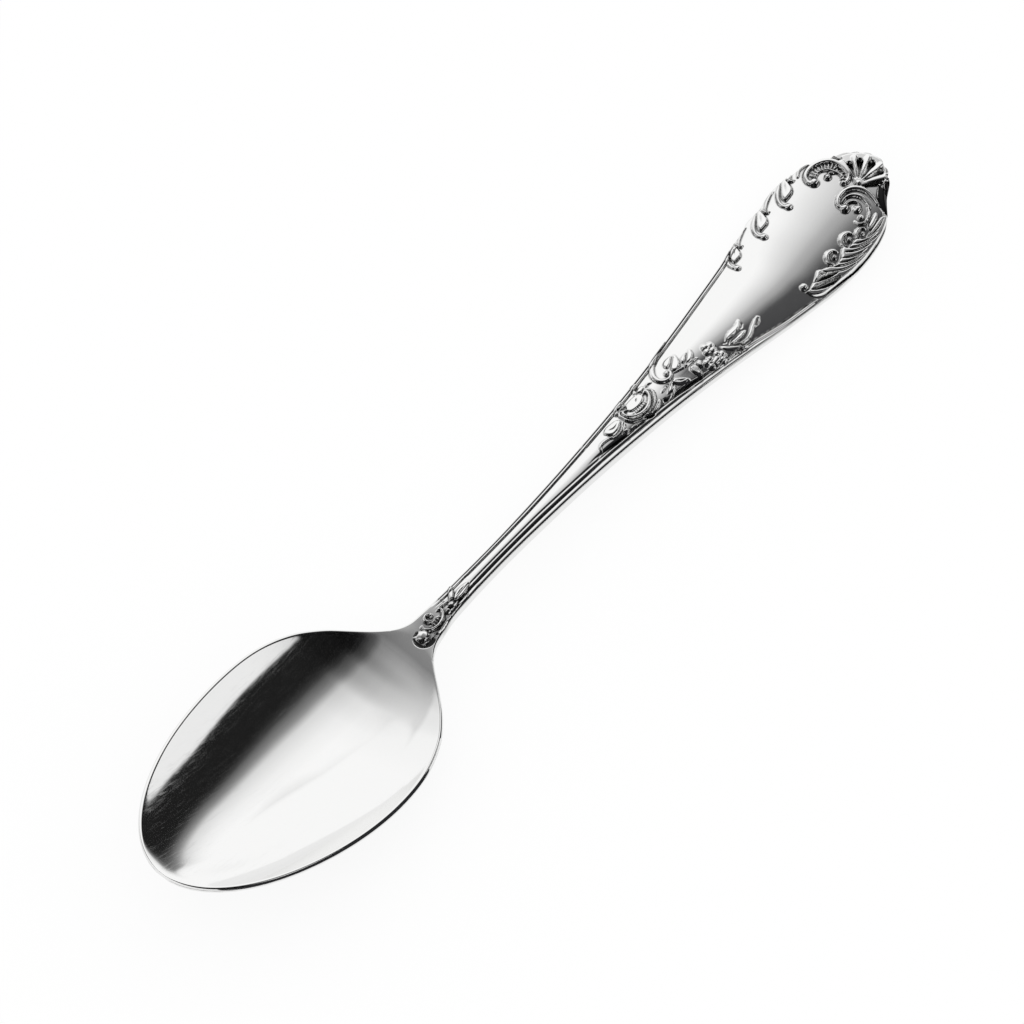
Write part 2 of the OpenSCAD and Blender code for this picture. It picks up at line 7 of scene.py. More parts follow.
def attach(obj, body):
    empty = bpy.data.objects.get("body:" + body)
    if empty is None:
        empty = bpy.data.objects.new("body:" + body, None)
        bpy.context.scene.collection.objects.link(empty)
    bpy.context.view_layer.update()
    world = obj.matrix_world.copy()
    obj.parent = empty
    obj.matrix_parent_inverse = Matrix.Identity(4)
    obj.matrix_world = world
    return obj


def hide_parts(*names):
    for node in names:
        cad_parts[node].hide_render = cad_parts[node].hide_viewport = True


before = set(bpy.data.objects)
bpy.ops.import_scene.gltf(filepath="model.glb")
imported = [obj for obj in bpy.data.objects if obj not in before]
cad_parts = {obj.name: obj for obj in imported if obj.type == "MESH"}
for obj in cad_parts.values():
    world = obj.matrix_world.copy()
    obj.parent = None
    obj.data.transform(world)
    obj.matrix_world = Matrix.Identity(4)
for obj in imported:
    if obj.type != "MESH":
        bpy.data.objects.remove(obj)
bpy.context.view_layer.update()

# Main sizes. Lengths are in millimetres as far as the mesh, and X is counted there from the bowl's tip.
LENGTH = 179.0
TIP_RISE = 5.5
RIM_HEIGHT = 10.0
NECK_HEIGHT = 7.1
HEEL_HEIGHT = 1.9
SHELL_HEIGHT = 5.2
BOWL_LENGTH = 60.0
BOWL_WIDTH = 36.0
BOWL_BELLY = 0.55
BOWL_DEPTH = 8.25
HOLLOW_DEPTH = 7.0
LAND_ROUND = 0.12
BOWL_WALL = 1.15
RIM_EDGE = 1.2
RIM_LAND = 0.4
STEM_WIDTH = 3.2
STEM_EDGE = 2.0
HEAD_WIDTH = 20.2
HEAD_EDGE = 1.15
HEAD_BELLY = 0.75
HEAD_CROWN = 0.75
STEM_CROWN = 0.4
BORDER_WIDTH = 1.05
THREAD_HEIGHT = 0.32
RELIEF_HEIGHT = 0.5
MIDDLE = 89.54

NECK_X = BOWL_LENGTH
BELLY_X = BOWL_LENGTH * BOWL_BELLY
TIP_X = LENGTH
SHELL_REACH = 5.3
SHOULDER_X = TIP_X - 0.7 - SHELL_REACH
STRAIGHT_END = TIP_X - 11
HOLLOW_END = NECK_X + 6
BORDER_START = NECK_X + 4
BORDER_END = TIP_X - 29
EDGE_ROUND = 0.35
RIM_ROUND = 0.7
STEM_HALF = STEM_WIDTH / 2
HEAD_HALF = HEAD_WIDTH / 2
BOWL_HALF = BOWL_WIDTH / 2


# Curves through knots

def through(knots, x):
    """Smooth curve through knots of x and y, level beyond the first and the last."""
    k = np.asarray(knots, float)
    x = np.asarray(x, float)
    kx, ky = k[:, 0], k[:, 1]
    m = np.empty(len(k))
    m[0] = (ky[1] - ky[0]) / (kx[1] - kx[0])
    m[-1] = (ky[-1] - ky[-2]) / (kx[-1] - kx[-2])
    m[1:-1] = (ky[2:] - ky[:-2]) / (kx[2:] - kx[:-2])
    i = np.clip(np.searchsorted(kx, x, side="right") - 1, 0, len(k) - 2)
    run = kx[i + 1] - kx[i]
    t = np.clip((x - kx[i]) / run, 0, 1)
    return (
        ky[i] * (1 + 2 * t) * (1 - t) ** 2
        + m[i] * run * t * (1 - t) ** 2
        + ky[i + 1] * t * t * (3 - 2 * t)
        - m[i + 1] * run * t * t * (1 - t)
    )


def ease(a, b, x):
    """0 below a, 1 above b, with a soft passage between them."""
    t = np.clip((x - a) / (b - a), 0, 1)
    return t * t * (3 - 2 * t)


def ridge(d, place, width):
    """1 at a place, falling to 0 on both sides of it."""
    return np.exp(-((d - place) / width) ** 2)


# Outline, half width along the spoon

FRONT_POWER = 1.85
REAR = NECK_X - BELLY_X
STEM_SPAN = SHOULDER_X - NECK_X
OUTLINE = np.array(
    [(BELLY_X + along * REAR, share * BOWL_HALF) for along, share in (
        (-0.26, 0.966), (0, 1), (0.26, 0.966), (0.48, 0.85), (0.63, 0.692), (0.74, 0.525), (0.852, 0.33))]
    + [(NECK_X + x, STEM_HALF + share * BOWL_HALF) for x, share in (
        (-2, 0.137), (0, 0.076), (2, 0.052), (6, 0.02))]
    + [(NECK_X + 12, STEM_HALF + 0.05), (NECK_X + 20, STEM_HALF)]
    + [(NECK_X + STEM_SPAN * along, STEM_HALF + share * HEAD_HALF) for along, share in (
        (0.27, 0.032), (0.35, 0.078), (0.44, 0.152), (0.53, 0.252), (0.62, 0.386))]
    + [(NECK_X + STEM_SPAN * 0.71, 0.705 * HEAD_HALF)]
    + [(TIP_X - x, share * HEAD_HALF) for x, share in (
        (29, 0.865), (22, 0.972), (16, 1), (11, 0.93), (8.2, 0.8))]
    + [(SHOULDER_X, 0.62 * HEAD_HALF)])
PANEL_OUTLINE = np.array([(x, HEAD_HALF if x > TIP_X - 20 else w) for x, w in OUTLINE])

# How much wider each side is than the even outline, from here on
EXTRA_START = 44
LEFT_EXTRA = np.array([
    (EXTRA_START, 0), (50, -0.2), (54, -0.8), (57, -0.6), (61, -0.2), (66, 0), (146, 0), (149, 0.15),
    (152.5, 0.2), (154, 0.05), (156.5, 0.4), (158.5, 0.15), (159.8, 0.0), (163, 0.45), (165.5, 0.45),
    (167.5, 0.2), (169, 0.35), (171, 0.55), (173, 0.85), (180, 0.85)])
RIGHT_EXTRA = np.array([
    (EXTRA_START, 0), (64, 0), (70, 0.25), (85, 0.3), (98, 0.25), (118, 0.3), (132, 0.3), (144, 0.2),
    (152, 0), (180, 0)])


def half_width(x):
    """Half width of the even outline."""
    x = np.asarray(x, float)
    front = BOWL_HALF * np.sqrt(np.maximum(0, 1 - np.maximum(0, 1 - x / BELLY_X) ** FRONT_POWER))
    return np.where(x < BELLY_X, front, through(OUTLINE, x))


NECK_HALF = float(half_width(HOLLOW_END))


def wider(x, y):
    """Y on the real outline for a Y on the even one."""
    w = half_width(x)
    at = np.clip(x, EXTRA_START, TIP_X)
    return y * (w + np.where(y > 0, through(LEFT_EXTRA, at), through(RIGHT_EXTRA, at))) / w


# Front: edge line, bowl, crowned panel and thread border

FALL = NECK_HEIGHT - HEEL_HEIGHT
TURN_UP = SHELL_HEIGHT - HEEL_HEIGHT
EDGE_LINE = np.array([
    (0, RIM_HEIGHT + TIP_RISE),
    (BOWL_LENGTH * 0.25, RIM_HEIGHT + TIP_RISE * 0.49),
    (BOWL_LENGTH * 0.5, RIM_HEIGHT),
    (BOWL_LENGTH * 0.75, RIM_HEIGHT - 1.6),
    (NECK_X - 6, (RIM_HEIGHT + NECK_HEIGHT) / 2 - 1.5),
    (NECK_X, NECK_HEIGHT - 0.7),
    (NECK_X + 6, NECK_HEIGHT - 0.2),
    (NECK_X + 12, NECK_HEIGHT),
    (NECK_X + 30, NECK_HEIGHT - 0.135 * FALL),
    (NECK_X + 50, NECK_HEIGHT - 0.346 * FALL),
    (TIP_X - 49, NECK_HEIGHT - 0.606 * FALL),
    (TIP_X - 34, HEEL_HEIGHT + 0.55),
    (TIP_X - 26, HEEL_HEIGHT),
    (TIP_X - 18, HEEL_HEIGHT + 0.17 * TURN_UP),
    (TIP_X - 10, HEEL_HEIGHT + 0.52 * TURN_UP),
    (TIP_X, SHELL_HEIGHT),
])

# Depth of the bowl's -Y side without its deeper middle, and where that ends, in half widths squared
RIGHT_DEPTH = 5.8
MIDDLE_SHARE = 0.45
# How steeply the bowl's underside rises to its rim
DISH_POWER = 0.9
# Widest border, as a share of the half width
BORDER_SHARE = 0.58
# Places and widths across the border, in widths of the border, and how strong the forms are there
OUTER_GROOVE = (0.3, 0.13)
INNER_GROOVE = (0.9, 0.08)
BEAD = (0.6, 0.2)
INNER_SHARE = 0.8
BEAD_SHARE = 0.35
GROOVE_DEPTH = 0.16
# The -Y border of the stem lies farther in, between these places along X
FAR_INWARD = 0.42
FAR_START = (64, 70)
FAR_END = (136, 146)
# From here on the outer groove is shallower on the -Y side
SHALLOW_START = (96, 104)


def rim(x):
    """Height of the edge line."""
    return through(EDGE_LINE, np.minimum(x, TIP_X))


def hollow(x, y):
    """Depth of the bowl's inner face."""
    w = np.maximum(half_width(x) - RIM_LAND, 0.01)
    length_share = (w / (BOWL_HALF - RIM_LAND)) ** 2 * (1 - (NECK_HALF / np.maximum(w, NECK_HALF)) ** 2)
    s = (y / w) ** 2
    left = HOLLOW_DEPTH * (1 - s)
    # The -Y side is as deep in the middle, and less steep halfway up
    middle = (HOLLOW_DEPTH - RIGHT_DEPTH) * np.maximum(0, 1 - s / MIDDLE_SHARE) ** 2
    right = RIGHT_DEPTH * (1 - s * (0.7 + 0.3 * s)) + middle
    deep = length_share * np.where(y < 0, right, left)
    # The edge between the land and the hollow is rounded
    deep = 0.5 * (deep + np.sqrt(deep * deep + LAND_ROUND ** 2))
    return np.where(x > HOLLOW_END, 0, deep)


def dish(x, y):
    """Depth of the bowl that its underside follows."""
    w = half_width(x) - RIM_LAND
    room = (w * w - y * y) * (1 - (NECK_HALF / np.maximum(w, NECK_HALF)) ** 2)
    deep = BOWL_DEPTH * np.maximum(0, room / (BOWL_HALF - RIM_LAND) ** 2) ** DISH_POWER
    return np.where(x > HOLLOW_END, 0, deep)


def border(x):
    """Width of the border beside each edge."""
    return np.minimum(BORDER_WIDTH, BORDER_SHARE * half_width(x))


def crown(x):
    """How far the panel's middle stands above the edge line."""
    rise = through([
        (NECK_X, 0.1), (NECK_X + 12, 0.4 * STEM_CROWN), (NECK_X + 36, 0.5 * STEM_CROWN),
        (NECK_X + 46, STEM_CROWN + 0.12), (TIP_X - 49, HEAD_CROWN * 0.95), (TIP_X - 20, HEAD_CROWN),
        (TIP_X - 9, HEAD_CROWN * 0.6), (TIP_X, 0.05)], x)
    return rise * ease(NECK_X - 4, NECK_X + 4, x)


def panel(x, y):
    """Height of the crowned panel above the edge line."""
    w = through(PANEL_OUTLINE, x)
    flat = w - border(x) * (1 - ease(BORDER_END, BORDER_END + 4, x))
    p = np.where(x > NECK_X + 12, flat, half_width(x))
    return crown(x) * (1 - np.minimum(1, np.abs(y) / p) ** 2)


def thread(x):
    """Height of the border's thread, which runs out at both ends."""
    return THREAD_HEIGHT * ease(BORDER_START, BORDER_START + 3, x) * (1 - ease(BORDER_END, BORDER_END + 2, x))


def inward(x, y):
    """How far each point lies inside the edge, in widths of the border."""
    far_in = FAR_INWARD * ease(*FAR_START, x) * (1 - ease(*FAR_END, x))
    return (half_width(x) - np.abs(y)) / border(x) - np.where(y < 0, far_in, 0)


def thread_grooves(x, y):
    """The two fine grooves beside each edge, from 0 to 1."""
    d = inward(x, y)
    outer = ridge(d, *OUTER_GROOVE) * (1 - np.where(y < 0, 0.5 * ease(*SHALLOW_START, x), 0))
    inner = INNER_SHARE * ridge(d, *INNER_GROOVE)
    return (outer + inner) * thread(x) / THREAD_HEIGHT


def thread_rise(x, y):
    """Height of the bead between the grooves, less the grooves' depth."""
    bead = BEAD_SHARE * ridge(inward(x, y), *BEAD)
    return thread(x) * bead - GROOVE_DEPTH * thread_grooves(x, y)


def bare_top(x, y):
    """Height of the front without its relief."""
    return rim(x) - hollow(x, y) + panel(x, y) + np.where(x < SHOULDER_X, thread_rise(x, y), 0)


# Back

BELLY_POWER = 2.5
SLOPE_STEP = 0.3


def edge_height(x):
    """Height of the side wall."""
    return through([
        (0, RIM_EDGE), (BOWL_LENGTH * 0.8, RIM_EDGE), (NECK_X + 4, STEM_EDGE), (NECK_X + 40, STEM_EDGE),
        (TIP_X - 32, HEAD_EDGE), (TIP_X, HEAD_EDGE)], x)


def back_belly(x):
    """How far the handle's back bulges below its side walls."""
    return through([
        (NECK_X - 8, 0), (NECK_X + 2, 0.9), (NECK_X + 12, 0.7), (NECK_X + 60, 0.7),
        (TIP_X - 32, HEAD_BELLY), (TIP_X - 10, HEAD_BELLY), (TIP_X, 0.1)], x)


def under(x, y):
    """Height of the back."""
    w = half_width(np.minimum(x, SHOULDER_X))
    t = np.minimum(1, np.abs(y) / w)
    at = np.minimum(x, NECK_X)
    # The bowl's wall is measured square to its slopes
    sx = (dish(at + SLOPE_STEP, y) - dish(at - SLOPE_STEP, y)) / (2 * SLOPE_STEP)
    sy = (dish(at, np.abs(y)) - dish(at, np.abs(y) - SLOPE_STEP)) / SLOPE_STEP
    wall = BOWL_WALL * np.sqrt(1 + sx * sx + sy * sy)
    bowl_back = rim(x) - dish(x, y) + panel(x, y) - wall
    handle_back = rim(x) - edge_height(x) - back_belly(x) * (1 - t ** BELLY_POWER)
    m = ease(NECK_X - 14, NECK_X - 2, x)
    return bowl_back * (1 - m) + handle_back * m


# Relief: strokes along paths, each with a width and a height

# How far the paths were drawn from the forms' places on the spoon
DRAWN_SHIFT = (0.15, 0.12)
CORD_LEAN = 0.3
CARVE_LEVEL = -0.22
PETALS = 4
FRINGE_TOP = -5.5
SHELL_HEART = (172.9, -0.4)


def curve(points, steps=8):
    """Smooth curve through points."""
    p = np.asarray(points, float)
    if len(p) < 3:
        return np.linspace(p[0], p[-1], steps + 1)
    ext = np.vstack([2 * p[0] - p[1], p, 2 * p[-1] - p[-2]])
    out = []
    for i in range(len(p) - 1):
        a, b, c, d = ext[i:i + 4]
        for t in np.arange(steps) / steps:
            out.append(0.5 * (2 * b + (c - a) * t + (2 * a - 5 * b + 4 * c - d) * t * t
                              + (3 * b - a - 3 * c + d) * t ** 3))
    out.append(p[-1])
    return np.array(out)


def near_path(x, y, path):
    """Distance to a path, how far that is towards -Y, and the share of the way along it."""
    best = np.full(x.shape, 1e9)
    side = np.zeros(x.shape)
    along = np.zeros(x.shape)
    steps = np.hypot(*(path[1:] - path[:-1]).T)
    reach = np.concatenate([[0], np.cumsum(steps)])
    for i in range(len(path) - 1):
        if steps[i] < 1e-6:
            continue
        dx, dy = (path[i + 1] - path[i]) / steps[i]
        rx, ry = x - path[i, 0], y - path[i, 1]
        t = np.clip(rx * dx + ry * dy, 0, steps[i])
        ex, ey = rx - t * dx, ry - t * dy
        d = np.hypot(ex, ey)
        k = d < best
        best = np.where(k, d, best)
        side = np.where(k, -ey, side)
        along = np.where(k, (reach[i] + t) / reach[-1], along)
    return best, side, along


def swell(t, ends):
    """Share of a stroke's width along it: 1 halfway, and less at its two ends."""
    end = np.where(t < 0.5, *ends)
    return end + (1 - end) * np.sin(np.pi * t)


def taper(t, least, power):
    """The same for a leaf: 1 halfway and almost pointed at both ends."""
    return least + (1 - least) * np.sin(np.pi * np.clip(t, 0.02, 0.98)) ** power


def direction(degrees):
    """Plan direction at an angle from +X."""
    return np.array([math.cos(math.radians(degrees)), math.sin(math.radians(degrees))])


def placer(x, y, size):
    """Function that puts the points of a repeated form at a place and a size."""
    return lambda points: [(x + a * size, y + b * size) for a, b in points]


class Relief:
    """Height above the bare surface at a set of plan points."""

    def __init__(self, x, y):
        self.x = x + DRAWN_SHIFT[0]
        self.y = y + DRAWN_SHIFT[1]
        self.h = np.zeros(x.shape)

    def around(self, path, margin):
        """The plan points in a box round a path."""
        lo, hi = path.min(axis=0) - margin, path.max(axis=0) + margin
        return np.nonzero((self.x > lo[0]) & (self.x < hi[0]) & (self.y > lo[1]) & (self.y < hi[1]))

    def beside(self, points, width):
        """The plan points near a curve through points, and what near_path says of them."""
        path = curve(points)
        k = self.around(path, width)
        return k, *near_path(self.x[k], self.y[k], path)

    def cord(self, points, width, height=1.0, ends=(0.6, 0.45)):
        """Round stroke. Its top leans, so that it is higher on its -Y side."""
        k, d, side, t = self.beside(points, width)
        f = swell(t, ends)
        q = np.clip(d / (0.5 * width * f), 0, 1)
        lean = 1 + CORD_LEAN * np.clip(side / (0.5 * width * f), -1, 1)
        rise = RELIEF_HEIGHT * height * lean * (0.3 + 0.7 * f) * (1 - q ** 3.4) ** 0.7
        self.h[k] = np.maximum(self.h[k], rise)

    def leaf(self, points, width, height=1.0, vein=0.45):
        """Pointed leaf with a sunk vein."""
        k, d, _, t = self.beside(points, width)
        f = taper(t, 0.12, 0.8)
        q = np.clip(d / (0.5 * width * f), 0, 1)
        body = (1 - q ** 3) ** 0.7
        rise = RELIEF_HEIGHT * height * (0.35 + 0.65 * f) * (body - vein * np.exp(-(q / 0.22) ** 2))
        self.h[k] = np.maximum(self.h[k], rise)

    def groove(self, points, width, depth=0.5, ends=(0.3, 0.3)):
        """Stroke that is cut into what is there."""
        k, d, _, t = self.beside(points, width)
        f = swell(t, ends)
        q = np.clip(d / (0.5 * width * f), 0, 1)
        self.h[k] -= RELIEF_HEIGHT * depth * f * (1 - q * q) ** 2

    def carve(self, points, width, level=CARVE_LEVEL):
        """Leaf-shaped hollow with a flat ground a little below the bare surface."""
        k, d, _, t = self.beside(points, width)
        f = taper(t, 0.15, 0.7)
        m = np.clip(3 * (1 - d / (0.5 * width * f)), 0, 1)
        self.h[k] = self.h[k] * (1 - m) + level * m

    def pad(self, outline, height=1.0, shoulder=0.4, lean=0.45, outward=0.0):
        """Raised shape inside a closed outline, rounded over a shoulder and higher towards -Y."""
        ring = curve(list(outline) + [outline[0]], 5)
        k = self.around(ring, 0.1)
        x, y = self.x[k], self.y[k]
        d = near_path(x, y, ring)[0]
        inside = np.zeros(x.shape, bool)
        for (x0, y0), (x1, y1) in zip(ring[:-1], ring[1:]):
            if y0 != y1:
                inside ^= ((y0 > y) != (y1 > y)) & (x < (x1 - x0) * (y - y0) / (y1 - y0) + x0)
        q = np.clip(d / (0.8 * shoulder), 0, 1)
        place = np.clip((ring[:, 1].max() - y) / np.ptp(ring[:, 1]), 0, 1)
        rise = RELIEF_HEIGHT * height * (1 - lean + lean * place) * (1 - (1 - q) ** 2.4) ** 0.8
        # The fringe's blades also rise towards the -Y edge
        rise += outward * q * np.maximum(0, FRINGE_TOP - y)
        self.h[k] = np.maximum(self.h[k], np.where(inside, rise, 0))

    def pit(self, start, end, narrow, wide, depth):
        """Drop-shaped hollow that widens from narrow to wide, with a round end."""
        a, b = np.array(start), np.array(end)
        k = self.around(np.array([a, b]), wide)
        run = np.hypot(*(b - a))
        dx, dy = (b - a) / run
        rx, ry = self.x[k] - a[0], self.y[k] - a[1]
        t = np.clip((rx * dx + ry * dy) / run, 0, 1)
        radius = narrow + (wide - narrow) * t
        q = np.clip(np.hypot(rx - t * run * dx, ry - t * run * dy) / radius, 0, 1)
        self.h[k] -= RELIEF_HEIGHT * depth * (0.4 + 0.6 * t) * (1 - q ** 2) ** 0.7

    def knob(self, centre, radius, height=1.1):
        """Round bead."""
        centre = np.array(centre)
        k = self.around(np.array([centre, centre]), radius)
        q = np.clip(np.hypot(self.x[k] - centre[0], self.y[k] - centre[1]) / radius, 0, 1)
        self.h[k] = np.maximum(self.h[k], RELIEF_HEIGHT * height * (1 - q ** 2.4) ** 0.8)

    def blossom(self, centre, size, turn):
        """Round petals about a centre bead."""
        for i in range(PETALS):
            self.knob(centre + 0.6 * size * direction(turn + 360 / PETALS * i), 0.62 * size, 1.1)
        self.knob(centre, 0.22 * size, 1.35)


def neck_ornament(r):
    # Round bud that lies over the end of the bowl
    r.carve([(61.2, -1.9), (59.8, -2.1), (58.7, -1.6), (58.3, -0.7), (58.7, 0.2), (59.6, 0.7)], 1.2, -0.25)
    r.knob((59.75, -0.6), 1.15, 1.4)
    r.groove([(59.0, -1.2), (59.7, -1.5), (60.5, -1.4)], 0.7, 1.0)
    # Scroll with a ribbed band, and its curls
    r.cord([(60.8, 0.7), (60.7, 0.0), (61.2, -0.65), (62.0, -1.05), (62.9, -1.15), (63.9, -0.95),
            (64.6, -0.4), (64.9, 0.3), (64.5, 0.6)], 0.6, 1.4, (0.8, 0.6))
    r.cord([(63.2, 1.15), (62.6, 1.5), (62.0, 1.1), (62.0, 0.45), (62.5, 0.05), (63.3, 0.0)],
           0.5, 1.3, (0.7, 0.7))
    r.knob((63.1, 0.85), 0.36, 1.2)
    for x in np.arange(61.8, 64.1, 0.5):
        r.cord([(x, -0.15), (x + 0.05, -0.7)], 0.3, 0.7)
    r.knob((65.4, -0.8), 0.5, 1.3)
    r.cord([(61.2, -1.7), (61.9, -1.95), (62.8, -1.9), (64.0, -1.7), (65.0, -1.6)], 0.45, 1.1)
    r.groove([(65.8, -0.3), (66.2, -0.5), (66.5, -0.9)], 0.7, 0.9, (0.8, 0.8))
    r.cord([(64.9, 0.7), (65.9, 0.45), (66.9, 0.2)], 0.5, 1.1)
    # Three leaves that end the ornament
    r.pad([(66.9, 0.1), (67.4, 0.8), (68.1, 1.4), (68.8, 1.9), (69.0, 1.5), (68.6, 0.8), (68.0, 0.2),
           (67.4, -0.1)], 1.2, 0.3, 0.3)
    r.pad([(67.2, -0.4), (68.2, 0.2), (69.6, 0.4), (71.4, -0.1), (70.4, -0.7), (69.2, -1.0), (68.0, -0.9)],
          1.3, 0.3, 0.3)
    r.groove([(68.0, -0.3), (69.1, -0.15), (70.3, -0.15)], 0.24, 0.5)
    r.cord([(66.9, -1.15), (68.2, -1.35), (69.6, -1.3)], 0.32, 0.9)


def cartouche(r):
    # Tendril and first leaf
    r.cord([(103.9, -0.8), (104.3, -0.1), (105.1, 0.15), (106.2, 0.0), (107.2, -0.3)], 0.5, 0.8, (0.5, 0.6))
    r.pad([(106.7, 1.2), (107.0, 0.3), (107.6, -0.25), (108.6, -0.3), (109.5, -0.05), (110.4, 0.5),
           (110.2, 1.3), (109.2, 1.6), (107.8, 1.7)], 1.0, 0.5)
    r.groove([(107.4, 1.3), (107.9, 0.8), (108.7, 0.5), (109.8, 0.7)], 0.35, 0.4)
    r.cord([(106.8, -0.3), (107.5, -0.65), (108.6, -0.7), (109.6, -0.35), (110.5, 0.2)], 0.3, 0.7)
    r.knob((109.7, -1.3), 0.45, 1.1)
    r.cord([(108.9, -1.3), (109.5, -0.8), (110.4, -0.3)], 0.32, 0.8)
    # Scroll that lies like a smile, with a ribbed field
    r.cord([(112.7, 1.2), (112.1, 1.45), (111.75, 0.95), (111.9, 0.2), (112.6, -0.5), (113.7, -0.95),
            (115.0, -1.0), (116.2, -0.65), (117.1, 0.0), (117.6, 0.75), (117.5, 1.35), (117.0, 1.2)],
           0.62, 1.3, (0.7, 0.7))
    r.cord([(112.9, 1.0), (111.9, 1.9), (111.2, 1.4), (111.1, 0.4), (111.4, -0.5), (112.2, -1.2),
            (113.4, -1.6), (114.6, -1.65)], 0.42, 1.0, (0.5, 0.4))
    r.cord([(118.4, 1.4), (118.4, 0.4), (117.8, -0.5), (116.8, -1.3), (115.6, -1.7)], 0.45, 1.0, (0.5, 0.5))
    r.pad([(112.7, 1.2), (113.0, 0.5), (114.0, 0.15), (115.2, 0.15), (116.2, 0.45), (116.8, 1.1),
           (116.6, 1.9), (115.4, 2.2), (113.8, 2.1)], 0.75, 0.45)
    for x in np.arange(113.1, 116.4, 0.48):
        r.cord([(x, 0.02), (x + 0.06, -0.62)], 0.3, 0.85)
    r.groove([(114.9, 1.0), (115.3, 1.25), (115.8, 1.5)], 0.3, 0.5)
    # Leaves above and below
    r.pad([(110.7, 2.0), (111.6, 2.9), (112.7, 3.35), (113.9, 3.5), (113.6, 2.9), (113.4, 2.3), (112.4, 2.6),
           (111.6, 2.0)], 1.1, 0.4)
    r.cord([(111.9, 2.15), (112.6, 2.2), (113.4, 2.0), (113.8, 2.3)], 0.35, 0.8)
    r.pad([(116.0, 1.9), (116.3, 2.7), (116.8, 3.6), (117.3, 4.0), (118.1, 3.6), (118.0, 3.1), (117.1, 3.0),
           (116.7, 2.3)], 1.1, 0.4)
    r.pad([(116.6, 2.2), (117.3, 2.6), (118.3, 2.5), (118.2, 1.9), (117.3, 1.7)], 0.8, 0.35)
    r.cord([(118.5, 1.8), (119.1, 1.95), (119.7, 1.6)], 0.4, 0.8)
    r.leaf([(111.0, -1.5), (112.4, -1.85), (113.9, -2.1)], 0.6, 0.9)
    r.leaf([(115.1, -2.3), (116.4, -2.1), (117.9, -1.5)], 0.65, 0.9)
    # Sunk ground between the relief and the border
    r.groove([(102.3, -0.7), (105.0, -1.05), (108.0, -1.45), (110.6, -1.8)], 1.0, 0.5, (0.4, 0.6))
    r.groove([(113.9, -1.75), (114.5, -2.2), (115.2, -2.4)], 0.9, 0.9, (0.8, 0.8))
    r.groove([(118.5, -2.1), (119.6, -2.4), (120.8, -2.6)], 1.0, 0.8, (0.7, 0.7))


